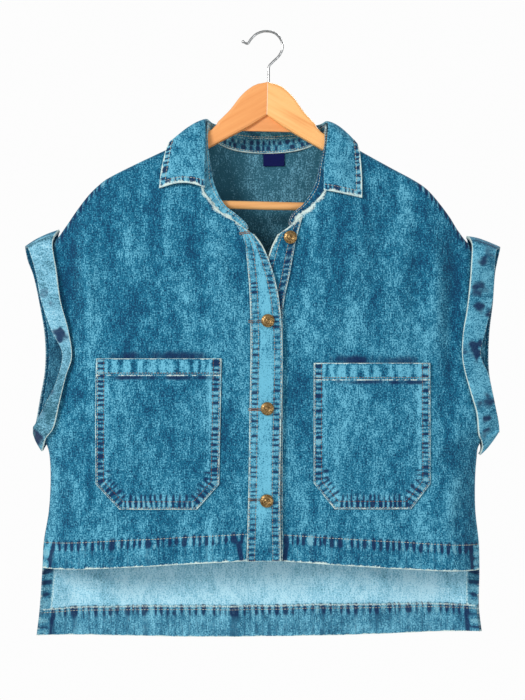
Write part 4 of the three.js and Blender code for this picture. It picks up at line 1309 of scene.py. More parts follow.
class Sewing:
    """Rows of stitches on one piece, joined in one mesh."""

    SIDES = 4

    def __init__(self, name: str) -> None:
        """Starts with no stitches.

        Args:
            name: the piece's name.
        """
        self.name = name
        self.points: list[Array] = []
        self.rust: list[Array] = []

    def row(self, path: Array, out: Array, thread: Thread, seed: int) -> None:
        """Sews a row.

        Args:
            path: points of the cloth's face along the row.
            out: the face's normals there.
            thread: how it is sewn.
            seed: which of many colourings.
        """
        lengths = arc_lengths(path)
        pitch = thread.length + thread.gap
        count = int(lengths[-1] // pitch)
        if count < 1:
            return
        starts = (np.arange(count) + 0.5) * (lengths[-1] / count) - thread.length / 2
        shares = np.array([0, 0.22, 0.78, 1])
        swell = np.array([0.55, 1, 1, 0.55])
        sink = np.array([-0.5, 0.35, 0.35, -0.5]) * thread.radius
        places = starts[:, None] + shares * thread.length
        spots = np.stack([np.interp(places, lengths, path[:, i]) for i in range(3)], axis=-1)
        up = np.stack([np.interp(places, lengths, out[:, i]) for i in range(3)], axis=-1)
        ahead = (spots[:, -1:] - spots[:, :1]) / thread.length
        side = np.cross(up, np.broadcast_to(ahead, up.shape))
        angles = 2 * np.pi * (np.arange(self.SIDES) + 0.5) / self.SIDES
        centre = spots + up * sink[None, :, None]
        ring = np.cos(angles)[:, None] * side[:, :, None] + np.sin(angles)[:, None] * up[:, :, None]
        body = centre[:, :, None] + ring * (swell * thread.radius)[None, :, None, None]
        self.points.append(body.reshape(-1, 3))
        tint = np.clip(thread.rust + 0.35 * noise(np.arange(count) * 0.71, 3, seed), 0, 1)
        self.rust.append(np.repeat(tint, 4 * self.SIDES))

    def make(self, material: Material) -> None:
        """Makes the one mesh of all rows.

        Args:
            material: the thread's finish.
        """
        if not self.points:
            return
        sides = self.SIDES
        points = np.concatenate(self.points)
        count = len(points) // (4 * sides)
        one = []
        for ring in range(3):
            for i in range(sides):
                j = (i + 1) % sides
                low = ring * sides
                high = low + sides
                one.append((low + i, low + j, high + j, high + i))
        one.append(tuple(reversed(range(sides))))
        one.append(tuple(range(3 * sides, 4 * sides)))
        faces = (np.array(one)[None] + (np.arange(count) * 4 * sides)[:, None, None]).reshape(-1, 4)
        mesh = bpy.data.meshes.new(self.name)
        mesh.from_pydata((points * MM).tolist(), [], faces.tolist())
        mesh.shade_smooth()
        layer = mesh.attributes.new("rust", "FLOAT", "POINT")
        layer.data.foreach_set("value", np.concatenate(self.rust).astype(np.float32))
        dress(add_object(self.name, mesh), material, "denim")


def grid_row(grid: Array, normals: Array, place: float) -> tuple[Array, Array]:
    """Reads a row of a grid, at a place between whole rows.

    Args:
        grid: rows by columns of points.
        normals: their normals.
        place: the row.

    Returns:
        The row's points and normals.
    """
    low = int(np.clip(math.floor(place), 0, len(grid) - 2))
    share = place - low
    return mix(grid[low], grid[low + 1], share), mix(normals[low], normals[low + 1], share)


def sample(grid: Array, row: Array, column: Array) -> Array:
    """Reads a grid at places between whole rows and columns.

    Args:
        grid: rows by columns of points.
        row: the row of each place.
        column: the column of each place.

    Returns:
        The points there.
    """
    rows, columns = grid.shape[:2]
    j = np.clip(np.floor(row).astype(int), 0, rows - 2)
    i = np.clip(np.floor(column).astype(int), 0, columns - 2)
    share_j = (row - j)[:, None]
    share_i = (column - i)[:, None]
    low = mix(grid[j, i], grid[j, i + 1], share_i)
    high = mix(grid[j + 1, i], grid[j + 1, i + 1], share_i)
    return mix(low, high, share_j)


@dataclass
class Assembly:
    """A part of the vest or its hanger, made with the shared finishes."""

    wardrobe: Wardrobe

    def build(self) -> None:
        """Makes the pieces, which each kind of assembly does in its own way."""
        raise NotImplementedError


@dataclass
class Front(Assembly):
    """One front panel, with a turned hem."""

    side: Side
    step: float = 2.0
    flat: tuple[float, float] = (0.27, 0.51)
    area: float = 0.104

    def outline(self) -> tuple[Array, Array, Array]:
        """Lays out the panel.

        Returns:
            The grid lines across and up, and the (x, z) of each crossing.
        """
        u = refine(COLUMNS, 250, self.step)
        v = refine(FRONT_ROWS, 480, self.step * 1.15)
        start = np.stack(centre_edge(self.side, v), axis=1)
        end = np.stack(side_edge(Face.FRONT, self.side, v), axis=1)
        top = np.stack(shoulder_edge(self.side, u), axis=1)
        bottom = mix(start[0], end[0], u[:, None])
        bottom[:, 1] -= FRONT_HEM_DIP * np.sin(np.pi * u)
        return u, v, blend_inside(bottom, top, start, end, u, v)

    def pocket_shade(self, x: Array, z: Array, seed: int) -> Array:
        """A painted shadow: an ink-blue band over the pocket's top edge.

        Args:
            x: places across.
            z: heights.
            seed: which of many.

        Returns:
            The painted shadow's strength at each place.
        """
        pocket = POCKETS[self.side]
        top = pocket.column("z")[-1]
        ends = sorted(pocket.rows[-1][1:])
        within = ease((x - ends[0] - 4) / 14) * ease((ends[1] - 4 - x) / 14)
        over = hill(z - top - 3, 6.5) * within
        return over * (0.85 + 0.5 * noise(x / 17, z / 30, seed + 6))

    def build(self) -> None:
        """Makes the panel and its stitches."""
        side = self.side
        u, v, flat = self.outline()
        x, z = flat[..., 0], flat[..., 1]
        y = front_y(side, x, z)
        seed = 20 if side is Side.RIGHT else 30
        hem_row = int(np.argmin(np.abs(v - HEM_V_FRONT)))
        hem_z = z[hem_row][None, :]
        below = hem_z - z
        fade = np.where(below >= 0, 1 - 0.8 * ease((below - 6) / 6), 0.7 * hill(below, 3))
        rope = 1.35 * (roping(x, below, 8.0, seed) - 0.2) * fade
        # Painted shade and highlight: darker in the folds' troughs, lighter on their ridges.
        tone = 0.22 * fold_height(CREASES[Face.FRONT], x, z) + 0.1 * fold_height(FOLDS[Face.FRONT], x, z)
        tone += 0.25 * noise(x / 60 + z / 150, z / 120, seed + 3) + 0.3 * noise(x / 9, z / 80, seed + 4)
        rim = np.minimum(z - z[:1], 40)
        fray = frayed(rim, x, seed + 10, 1.5)
        reach = np.abs(x - x[:, -1:])
        fray = np.maximum(fray, 0.9 * hill(reach, 1.2) * (v[:, None] > V_UNDERARM))
        fray = np.maximum(fray, frayed(np.abs(x - x[:, :1]), z, seed + 13, 3.2) * (v[:, None] > 0.6))
        vent = ease((10 - reach) / 1.2) * ease(below / 3)
        middle = np.abs(x) - np.abs(x[:, :1])
        slant = hill(reach - 12 + below / 12, 2.4)
        slant = np.maximum(slant, hill(middle - 10 - (30 - below) / 5, 2.2))
        rope = rope * (1 - vent) - 1.3 * slant * ease(below / 4)
        rope += 0.9 * vent * (0.5 + roping(z, reach, 11, seed + 15))
        # The vent is paler; the upper front is darker, a painted shade that evens out the key light from
        # above.
        tone += 0.5 * vent - 0.32 * ease((z + 350) / 90)
        under_seam = z[-1:] - z
        by_seam = hill(under_seam - 4, 5) * ease((np.abs(x) - 160) / 25) * (v[:, None] > 0.6)
        most = 1.6 if side is Side.LEFT else 0.9
        rope += most * by_seam * (roping(np.abs(x), under_seam, 5.5, seed + 17) - 0.2)
        # Painted shadow over the pocket's top edge, carried in the ink mark.
        ink = self.pocket_shade(x, z, seed)
        y = y + 0.45 * np.clip(-rope, 0, 1) + STITCH_DIP * hill(below, 0.9)
        seam = np.zeros(x.shape, bool)
        seam[-1] = True
        seam[v <= V_UNDERARM, -1] = True
        thick = np.where(v < HEM_V_FRONT, WALL + HEM_TURN, WALL)[:, None] * np.ones_like(x)
        shell = Shell(
            f"front_{side.label}_cloth",
            np.stack([x, y, z], axis=2),
            thick,
            outward=side.value,
            seam=seam,
            marks={"wear": fray, "rope": rope, "tone": tone, "ink": ink},
            inner_marks={"wrong": np.where(v < HEM_V_FRONT, 0.2, 1.0)[:, None] * np.ones_like(x), "ink": 0},
        )
        arms = [f"hanger_arm_{side.label}"]
        shell.hang(self.wardrobe.denim, "denim", f"front_{side.label}", self.flat, arms, self.area)
        sewing = Sewing(f"stitches_front_{side.label}")
        normals = shell.normals()
        sewing.row(shell.grid[hem_row], normals[hem_row], Thread(rust=0.25), seed + 7)
        sewing.make(self.wardrobe.thread)


@dataclass
class Back(Assembly):
    """The back panel, whose hem and vent edges are turned inside."""

    step: float = 2.75
    vent: float = 11.0
    flat: tuple[float, float] = (0.6, 0.59)
    area: float = 0.275

    def build(self) -> None:
        """Makes the panel and its stitches."""
        half = np.array(COLUMNS)
        knots = [*(NECK_U * (1 - half))[::-1], *NECK_COLUMNS, *(1 - NECK_U * (1 - half))]
        u = refine(knots, 560, self.step)
        v = refine(BACK_ROWS, 570, self.step * 1.1)
        start = np.stack(side_edge(Face.BACK, Side.RIGHT, v), axis=1)
        end = np.stack(side_edge(Face.BACK, Side.LEFT, v), axis=1)
        top = np.stack(back_top(u), axis=1)
        bottom = mix(start[0], end[0], u[:, None])
        bottom[:, 1] -= BACK_HEM_DIP * np.sin(np.pi * u)
        flat = blend_inside(bottom, top, start, end, u, v)
        x, z = flat[..., 0], flat[..., 1]
        y = cloth_y(Face.BACK, x, z)
        hem_row = int(np.argmin(np.abs(v - HEM_V_BACK)))
        below = z[hem_row][None, :] - z
        fade = np.where(below >= 0, 1 - 0.75 * ease((below - 5) / 9), 0.6 * hill(below, 3))
        rope = 1.15 * (roping(x, below, 8.4, 41) - 0.15) * fade
        y = y - 0.35 * np.clip(-rope, 0, 1) - STITCH_DIP * hill(below, 0.9)
        # Painted shade and highlight: darker in the folds' troughs, lighter on their ridges.
        tone = 0.2 * (fold_height(CREASES[Face.BACK], x, z) + 0.4 * fold_height(FOLDS[Face.BACK], x, z))
        tone += 0.25 * noise(x / 70 + z / 90, z / 45, 43) + 0.25 * noise(x / 12, z / 80, 42)
        rim = z - z[:1]
        edge = np.minimum(np.abs(x - x[:, :1]), np.abs(x - x[:, -1:]))
        free = (v[:, None] > V_UNDERARM) | (z < -608)
        fray = np.maximum(frayed(rim, x, 46, 0.9), 0.45 * frayed(edge, z, 49, 0.8) * free)
        turned = np.maximum((v < HEM_V_BACK)[:, None] * 1.0, (edge < self.vent) * (z < -600))
        side_strip = ease((self.vent - edge) / 1.5) * ease((-600 - z) / 6)
        rope = rope * (1 - side_strip) + side_strip * (0.9 * roping(z, edge, 14, 52) - 0.05)
        rope -= 0.9 * hill(edge - self.vent - 3, 2.2) * (below > 0)
        lip = hill(below, 1.0) * (edge > 2)
        lip = np.maximum(lip, hill(edge - self.vent - 1.2, 0.9) * (z < -604) * (below < 0))
        seam = np.zeros(x.shape, bool)
        on_shoulder = (u <= NECK_U) | (u >= 1 - NECK_U)
        seam[-1, on_shoulder] = True
        seam[v <= V_UNDERARM, 0] = True
        seam[v <= V_UNDERARM, -1] = True
        thick = np.where(v < HEM_V_BACK, WALL + HEM_TURN, WALL)[:, None] * np.ones_like(x)
        inside_rope = np.where(turned > 0, rope, rope * 0.3)
        # Painted shade inside the back: darker at the neck, where the fronts and collar shade it, and beside
        # the sleeves' openings; painted light on the tail below the front hem, lifting the front's shadow.
        high = ease((z + 300) / 70)
        inside_tone_and_shading = tone + 0.3 * turned - 1.7 * high + 0.85 * ease((-598 - z) / 12) * (1 - turned)
        sleeve_shade = ease((34 - edge) / 12) * (v[:, None] > V_UNDERARM)
        inside_tone_and_shading -= 0.5 * sleeve_shade
        shell = Shell(
            "back_cloth",
            np.stack([x, y, z], axis=2),
            thick,
            outward=-1,
            seam=seam,
            marks={"wear": fray, "rope": rope, "tone": tone},
            inner_marks={
                # Less of the pale wrong side at the neck and beside the sleeves: part of the same painted
                # shade.
                "wrong": (1 - 0.85 * turned - 0.25 * high) * (1 - 0.85 * sleeve_shade),
                "rope": inside_rope,
                "wear": np.maximum(fray, 0.62 * lip),
                "tone": inside_tone_and_shading,
            },
        )
        arms = ["hanger_arm_right", "hanger_arm_left"]
        shell.hang(self.wardrobe.denim, "denim_wrong_side", "back_panel", self.flat, arms, self.area)
        normals = shell.normals()
        sewing = Sewing("stitches_back")
        sewing.row(shell.grid[hem_row], normals[hem_row], Thread(rust=0.3), 44)
        inner = shell.grid - normals * thick[..., None]
        sewing.row(inner[hem_row - 1], -normals[hem_row - 1], Thread(rust=0.3), 45)
        sewing.make(self.wardrobe.thread)


@dataclass
class Placket(Assembly):
    """A placket strip with stitched edges, upper or under."""

    side: Side
    table: Table
    flat: tuple[float, float]
    step: float = 1.2
    row_in: float = 1.6
    row_far: float = 8.6

    def build(self) -> None:
        """Makes the strip and its four rows of stitches."""
        upper = self.side is Side.RIGHT
        seed = 50 if upper else 60
        t = refine(np.linspace(0, 1, 29), 385, self.step)
        share = refine((0, 0.01, 0.03, 0.97, 0.99, 1), 37, self.step)
        ends = {name: self.table.along("t", t, name)[:, None] for name in STRIP[1:]}
        x = mix(ends["in_x"], ends["out_x"], share[None])
        z = mix(ends["in_z"], ends["out_z"], share[None])
        width = np.hypot(ends["out_x"] - ends["in_x"], ends["out_z"] - ends["in_z"])
        length = arc_lengths(np.column_stack([x[:, 0], z[:, 0]]))[:, None]
        from_in = width * share[None]
        from_out = width * (1 - share[None])
        edge = np.minimum(from_in, from_out)
        band = ease((edge - 1.2) / 1.4) * (1 - ease((edge - self.row_far) / 2.2))
        seeds = np.where(from_in < from_out, 0, 40)
        high = ease((z + 262) / 25)
        rope = 0.8 * (roping(length + seeds, edge, 6.8, seed) - 0.1) * band * (1 - 0.5 * high)
        low_hem = hill(z + 566, 3) + ease((-566 - z) / 5) * ease((z + 592) / 6) * 0.8
        ink = low_hem * (0.55 + 0.8 * noise(x / 5, z / 26, seed + 3))
        middle = ease((edge - self.row_far) / 3)
        tone = (0.45 + 1.0 * middle) * ease((z + 590) / 60) + 0.15 * noise(x / 20, z / 40, seed + 2)
        if not upper:
            tone *= 0.2
            ink = ink * 0
        dip = STITCH_DIP * (hill(edge - self.row_in, 0.8) + hill(edge - self.row_far, 0.8))
        y = front_y(self.side, x, z) - LAY_GAP - PLACKET_WALL + 0.4 * np.clip(-rope, 0, 1) * band + dip
        from_top = length[-1] - length + 0 * x
        if upper:
            fray = frayed(from_in, length, seed + 20, 0.9) * (1 - high)
            fray = np.maximum(fray, frayed(from_out, length, seed + 23, 0.9 + 1.4 * high))
        else:
            # Painted shade where the upper placket lies over the under one and casts its shadow: darker in
            # the middle, and most beside the outer edge.
            tone = tone - 0.5 * middle - 1.4 * (from_out < 9) * band
            fray = frayed(from_in, length, seed + 20, 0.9 + 2.6 * high)
            fray = np.maximum(fray, 0.8 * frayed(from_out, length, seed + 23, 0.9))
        fray = np.maximum(fray, frayed(from_top, x, seed + 29, 1.6 if upper else 3.0))
        fray = np.maximum(fray, frayed(length + 0 * x, x, seed + 26, 0.8))
        if upper:
            rope = rope * (1 - 0.7 * high * (from_in < from_out))
        shell = Shell(
            f"placket_{self.side.label}_cloth",
            np.stack([x, y, z], axis=2),
            PLACKET_WALL,
            outward=1,
            marks={"wear": fray, "rope": rope, "tone": tone, "ink": ink},
        )
        front = f"front_{self.side.label}"
        shell.hang(self.wardrobe.denim, "denim", f"placket_{self.side.label}", self.flat, [front])
        normals = shell.normals()
        sewing = Sewing(f"stitches_placket_{self.side.label}")
        last = len(share) - 1
        rows = np.arange(len(t), dtype=float)
        for distance in (self.row_in, self.row_far):
            for turned in (False, True):
                part = distance / width[:, 0]
                part = 1 - part if turned else part
                column = np.interp(part, share, np.arange(last + 1))
                sewing.row(
                    sample(shell.grid, rows, column),
                    sample(normals, rows, column),
                    Thread(rust=0.35 if distance == self.row_in else 0.55),
                    seed + int(distance) + 3 * turned,
                )
        sewing.make(self.wardrobe.thread)


@dataclass
class Pocket(Assembly):
    """A patch pocket with a turned top hem and two cut corners."""

    side: Side
    flat: tuple[float, float]
    area: float
    step: float = 1.5
    row_in: float = 1.7
    row_far: float = 8.6

    def build(self) -> None:
        """Makes the pocket and its stitches."""
        table = POCKETS[self.side]
        seed = 70 if self.side is Side.RIGHT else 80
        bottom, corner, _, top = table.column("z")
        hem_z = top - POCKET_HEM_HEIGHT
        knots = ((bottom, bottom + 0.8, bottom + 1.8, corner, hem_z - 0.4, hem_z, top - 1.6, top - 0.7, top))
        z_line = refine(knots, 1, self.step)
        share = refine((0, 0.006, 0.014, 0.986, 0.994, 1), 142, self.step)
        in_x = table.along("z", z_line, "in_x")[:, None]
        out_x = table.along("z", z_line, "out_x")[:, None]
        x = mix(in_x, out_x, share[None])
        z = z_line[:, None] * np.ones_like(x)
        lead = [(table.along("z", s, "in_x"), s) for s in np.linspace(top, corner, 12)]
        trail = [(table.along("z", s, "out_x"), s) for s in np.linspace(corner, top, 12)]
        low = [(table.along("z", bottom, "in_x"), bottom), (table.along("z", bottom, "out_x"), bottom)]
        path = np.array([(float(a), float(b)) for a, b in [*lead, *low, *trail]])
        edge, length = path_distance(x, z, path)
        band = ease((edge - 1.2) / 1.2) * (1 - ease((edge - self.row_far) / 2.0))
        rope = 1.25 * (roping(length, edge, 6.2, seed) - 0.1) * band
        beyond = hill(edge - 13, 4.5) * (z < corner + 16)
        rope += 0.8 * beyond * (roping(length, edge, 6.2, seed + 4) - 0.3)
        from_top = top - z
        hem = ease((from_top - 1.2) / 1.5) * (1 - ease((from_top - POCKET_HEM_HEIGHT + 2) / 2)) * (1 - band)
        streaks = roping(x, from_top, 12.0, seed + 9) + 0.6 * noise(x / 3.5, z / 14, seed + 10)
        under = hill(from_top - POCKET_HEM_HEIGHT - 4.5, 3.0) * ease((edge - 3) / 3)
        ink = under * (0.8 + 0.5 * noise(x / 9, z / 8, seed + 12))
        tone = (1.3 + 1.5 * np.clip(streaks - 0.3, -1.6, 0)) * hem + 0.2 * noise(x / 45, z / 60, seed + 5)
        # Painted shade and highlight that follow the creases.
        tone += 0.22 * fold_height(CREASES[Face.FRONT], x, z)
        tone += 0.7 * hill(edge - 12, 2.5) * (1 - hem)
        dips = [self.row_in, self.row_far]
        dip = sum(STITCH_DIP * hill(edge - d, 0.8) for d in dips)
        dip = dip + STITCH_DIP * hill(from_top - POCKET_HEM_HEIGHT, 0.9)
        thick = np.where(z >= hem_z, POCKET_HEM_WALL, POCKET_WALL)
        puff = 0.6 * ease((edge - 9) / 12) * (z < hem_z)
        y = front_y(self.side, x, z) - LAY_GAP - thick + 0.4 * np.clip(-rope, 0, 1) + dip - puff
        fray = np.maximum(frayed(edge, length, seed + 20, 0.85), frayed(from_top, x, seed + 23, 0.8))
        lip = hill(from_top - POCKET_HEM_HEIGHT - 1.8, 1.1)
        fray = np.maximum(fray, lip * (0.6 + 0.3 * noise(x / 4, 0, seed + 26)))
        shell = Shell(
            f"pocket_{self.side.label}_cloth",
            np.stack([x, y, z], axis=2),
            thick,
            outward=self.side.value,
            marks={"wear": fray, "rope": rope, "tone": tone, "ink": ink},
        )
        front = f"front_{self.side.label}"
        shell.hang(self.wardrobe.denim, "denim", f"pocket_{self.side.label}", self.flat, [front], self.area)
        self.sew(shell, path, z_line, share)

    def sew(self, shell: Shell, path: Array, z_line: Array, share: Array) -> None:
        """Sews two rows round the edge and one under the top hem.

        Args:
            shell: the pocket's wall.
            path: the (x, z) corners of its sewn edge.
            z_line: the height of each grid row.
            share: the share across of each grid column.
        """
        seed = 90 if self.side is Side.RIGHT else 95
        normals = shell.normals()
        sewing = Sewing(f"stitches_pocket_{self.side.label}")
        grid = shell.grid

        def lay(places: Array, thread: Thread, number: int) -> None:
            """Sews a row on the pocket's face.

            Args:
                places: the (x, z) of the row's points.
                thread: how it is sewn.
                number: which row.
            """
            row = np.interp(places[:, 1], z_line, np.arange(len(z_line)))
            ends = np.stack([np.interp(places[:, 1], z_line, grid[:, i, 0]) for i in (0, -1)])
            part = (places[:, 0] - ends[0]) / (ends[1] - ends[0])
            column = np.interp(part, share, np.arange(len(share)))
            sewing.row(sample(grid, row, column), sample(normals, row, column), thread, seed + number)

        centre = np.array([path[:, 0].mean(), -440.0])
        for number, distance in enumerate((self.row_in, self.row_far)):
            lay(inset_path(path, centre, distance), Thread(rust=0.4 + 0.6 * number), number)
        top = z_line[-1]
        drop = POCKET_HEM_HEIGHT - 0.8
        ends = np.interp(top - drop, z_line, grid[:, 0, 0]), np.interp(top - drop, z_line, grid[:, -1, 0])
        line = np.linspace(ends[0], ends[1], 60)[1:-1]
        lay(np.column_stack([line, np.full(len(line), top - drop)]), Thread(radius=0.42, rust=0.7), 3)
        sewing.make(self.wardrobe.thread)


def inset_path(path: Array, centre: Array, distance: float) -> Array:
    """A path moved in by a distance, with its corners kept sharp, and given many points.

    Args:
        path: the (x, z) corners.
        centre: a point inside.
        distance: how far in.

    Returns:
        Points about 2 mm apart.
    """
    corners = [path[0]]
    for i in range(1, len(path) - 1):
        before = path[i] - path[i - 1]
        after = path[i + 1] - path[i]
        turn = abs(before[0] * after[1] - before[1] * after[0])
        if turn > 0.05 * np.linalg.norm(before) * np.linalg.norm(after):
            corners.append(path[i])
    corners.append(path[-1])
    lines = []
    for a, b in zip(corners, corners[1:]):
        ahead = (b - a) / np.linalg.norm(b - a)
        side = np.array([-ahead[1], ahead[0]])
        if np.dot(side, centre - a) < 0:
            side = -side
        lines.append((a + side * distance, ahead))
    points = [lines[0][0]]
    for (a, ahead), (b, after) in zip(lines, lines[1:]):
        cross = ahead[0] * after[1] - ahead[1] * after[0]
        step = ((b[0] - a[0]) * after[1] - (b[1] - a[1]) * after[0]) / cross
        points.append(a + ahead * step)
    last, ahead = lines[-1]
    points.append(last + ahead * np.dot(corners[-1] - last, ahead))
    dense = []
    for a, b in zip(points, points[1:]):
        steps = max(2, int(np.linalg.norm(b - a) / 2))
        dense.extend(a + (b - a) * k / steps for k in range(steps))
    dense.append(points[-1])
    return np.array(dense)


@dataclass
class Collar(Assembly):
    """The collar stand and the leaf that rolls over it."""

    stand_flat: tuple[float, float] = (0.46, 0.026)
    stand_area: float = 0.0064
    leaf_flat: tuple[float, float] = (0.404, 0.056)
    leaf_area: float = 0.0187
    fine: int = 14
    border: float = 6.5
    foot_lap: float = 2.4
    arch: float = 5.0

    def stand_grid(self) -> Array:
        """Lays out the stand.

        Returns:
            Its outer points, from its foot up.
        """
        foot = []
        for edge, place, tx, ty, tz in STAND_TOP:
            on_neck = edge is Edge.NECK
            lift = SEAM_GAP + STAND_WALL
            if on_neck:
                x, z = (float(part) for part in back_top(np.array(place)))
                inside = float(ease((0.125 - abs(place - 0.5)) / 0.04))
                y = float(cloth_y(Face.BACK, x, z)) - mix(STAND_WALL / 2, WALL + LAY_GAP, inside)
                lift = mix(lift, -self.foot_lap, inside)
            else:
                side = Side.RIGHT if edge is Edge.RIGHT else Side.LEFT
                x, z = (float(part) for part in centre_edge(side, np.array(place)))
                y = float(front_y(side, np.array(x), np.array(z))) + WALL + LAY_GAP
                lift = -self.foot_lap / 2
            if on_neck and abs(place - 0.5) >= 0.5 - NECK_U:
                y = float(middle_y(np.array(x), np.array(z)))
            if not on_neck and place >= STEEP_V:
                y = float(front_y(side, np.array(x), np.array(z))) + STAND_WALL / 2
                foot.append((x - math.copysign(FOOT_INSET, x), y, z))
                continue
            low = np.array([x, y, z])
            rise = np.array([tx, ty, tz]) - low
            foot.append(tuple(low + rise / np.linalg.norm(rise) * lift))
        top = np.array([row[2:] for row in STAND_TOP], float)
        low_path = smooth_path(np.array(foot), self.fine)
        high_path = smooth_path(top, self.fine)
        length = arc_lengths(low_path)
        ends = np.minimum(length, length[-1] - length)
        taper = mix(0.15, 1, quarter_round(ends / 14))[:, None]
        shares = np.linspace(0, 1, 22)[:, None, None]
        return low_path[None] + ((high_path - low_path) * taper)[None] * shares

    def build_stand(self) -> None:
        """Makes the stand, with the roped seam at its foot."""
        grid = self.stand_grid()
        length = arc_lengths(grid[0])[None, :]
        height = np.linalg.norm(grid - grid[:1], axis=2)
        tall = height[-1:]
        first = hill(height - 6.0, 3.0, 4)
        second = hill(height - 13.0, 3.0, 4)
        at_back = ease((grid[..., 1] - 2) / 10)
        rope = (roping(length, height, 8.2, 101) * 1.2 - 0.35) * first
        rope += (roping(length + 31, height, 8.2, 102) * 1.2 - 0.35) * second
        rope *= 0.35 + 0.65 * at_back
        tone = -0.2 + (1 - at_back) * np.where(grid[..., 0] < 0, 1.2, -0.8)
        fray = frayed(height, length + 0 * height, 107, 0.8 + 2.0 * (1 - at_back))
        fray = np.maximum(fray, 0.6 * hill(height - 18.5, 0.8))
        ends = np.minimum(length, length[0, -1] - length)
        fray = np.maximum(fray, 0.9 * hill(ends, 1.3))
        fray = np.maximum(fray, 0.5 * hill(tall - height, 1.1))
        shell = Shell(
            "collar_stand_cloth",
            grid,
            STAND_WALL,
            outward=-1,
            marks={"wear": fray, "rope": rope, "tone": tone},
            inner_marks={"wrong": 0.1},
            weave=np.stack([np.broadcast_to(length, height.shape), height], axis=2),
        )
        sizes = (self.stand_flat, ["back_panel"], self.stand_area)
        shell.hang(self.wardrobe.denim, "denim", "collar_stand", *sizes)
        normals = shell.normals()
        sewing = Sewing("stitches_collar_stand")
        inner = grid - normals * STAND_WALL
        for number, row in enumerate((1.5, 15.5)):
            for surface, out in ((grid, normals), (inner, -normals)):
                path, up = grid_row(surface, out, row)
                sewing.row(path, up, Thread(rust=0.1), 104 + number)
        sewing.make(self.wardrobe.thread)

    def leaf_grid(self) -> Array:
        """Lays out the leaf.

        Returns:
            Its outer points, from its roll line down to its free edge.
        """
        rows = np.array(LEAF, float)
        roll = smooth_path(rows[:, :3], 2 * self.fine)
        free = smooth_path(rows[:, 3:], 2 * self.fine)
        shares = refine((0, 0.12, 0.35, 0.6, 0.82, 0.975, 0.99, 1), 50, 1.6)
        across = free - roll
        ahead = np.gradient(roll, axis=0)
        out = np.cross(ahead, across)
        out /= np.linalg.norm(out, axis=1, keepdims=True)
        part = shares[:, None, None]
        grid = roll[None] + across[None] * part + out[None] * LEAF_BOW * np.sin(np.pi * part**0.7)
        arch = np.sin(np.pi * shares)[:, None] * hill(arc_lengths(free)[None], 16)
        grid[..., 2] += self.arch * arch
        grid[..., 1] -= self.arch / 3 * arch
        return self.off_cloth(grid)

    def off_cloth(self, grid: Array) -> Array:
        """Moves points out where they would lie too close to the cloth below.

        Args:
            grid: the leaf's points, which are changed.

        Returns:
            The same points.
        """
        x, y, z = grid[..., 0], grid[..., 1], grid[..., 2]
        least = COLLAR_WALL + LEAF_GAP
        low = shoulder_z(x) - z >= ARM_ROUND / 2
        ahead = np.minimum(y, cloth_y(Face.FRONT, x, z) - least)
        behind = np.maximum(y, cloth_y(Face.BACK, x, z) + least)
        moved = np.where(y < middle_y(x, z), ahead, behind)
        grid[..., 1] = np.where(low, moved, y)
        return grid

    def build_leaf(self) -> None:
        """Makes the leaf, stitched round its edge."""
        grid = self.leaf_grid()
        steps = np.linalg.norm(np.diff(grid, axis=0), axis=2)
        down = np.concatenate([np.zeros((1, grid.shape[1])), np.cumsum(steps, axis=0)])
        from_free = down[-1:] - down
        ahead = np.linalg.norm(np.diff(grid, axis=1), axis=2)
        along = np.concatenate([np.zeros((len(grid), 1)), np.cumsum(ahead, axis=1)], axis=1)
        from_end = np.minimum(along, along[:, -1:] - along)
        edge = np.minimum(from_free, from_end)
        path_length = np.where(from_free < from_end, along, down + 500)
        band = ease((edge - 0.8) / 1.2) * (1 - ease((edge - self.border) / 2.5))
        rope = (1.5 * roping(path_length, edge, 7.0, 111) - 0.35) * band
        x, z = grid[..., 0], grid[..., 2]
        tone = 0.3 * noise(x / 26, z / 30, 113) + 0.45
        fray = frayed(edge, path_length, 114, 1.8 + 1.6 * (from_end < from_free))
        fray = np.maximum(fray, 0.35 * hill(down, 1.5))
        normals = grid_normals(grid, 1, None, False)
        relief = -0.35 * np.clip(-rope, 0, 1) + 0.35 * np.clip(rope, 0, 1)
        relief = relief - STITCH_DIP * hill(edge - self.border, 0.8)
        grid = grid + normals * relief[..., None]
        shell = Shell(
            "collar_leaf_cloth",
            grid,
            COLLAR_WALL,
            outward=1,
            marks={"wear": fray, "rope": rope, "tone": tone},
            inner_marks={"wrong": 0.1},
            weave=np.stack([x + 0.4 * grid[..., 1], z], axis=2),
        )
        sizes = (self.leaf_flat, ["collar_stand"], self.leaf_area)
        shell.hang(self.wardrobe.denim, "denim", "collar_leaf", *sizes)
        self.sew_leaf(shell, down, along)

    def sew_leaf(self, shell: Shell, down: Array, along: Array) -> None:
        """Sews one row inside the leaf's free edges.

        Args:
            shell: the leaf's wall.
            down: length from the roll line to each point.
            along: length along the leaf to each point.
        """
        columns = np.arange(down.shape[1], dtype=float)
        first = np.interp(self.border, along[-1], columns)
        last = np.interp(along[-1, -1] - self.border, along[-1], columns)
        inside = columns[(columns > first) & (columns < last)]
        whole = np.arange(len(down), dtype=float)
        edge = np.array([np.interp(down[-1, int(i)] - self.border, down[:, int(i)], whole) for i in inside])
        upward = np.linspace(0.5, edge[0], 30)
        row = np.concatenate([upward, edge, np.linspace(edge[-1], 0.5, 30)])
        column = np.concatenate([np.full(30, first), inside, np.full(30, last)])
        normals = shell.normals()
        sewing = Sewing("stitches_collar_leaf")
        sewing.row(sample(shell.grid, row, column), sample(normals, row, column), Thread(rust=0.25), 117)
        sewing.make(self.wardrobe.thread)

    def build(self) -> None:
        """Makes both pieces."""
        self.build_stand()
        self.build_leaf()


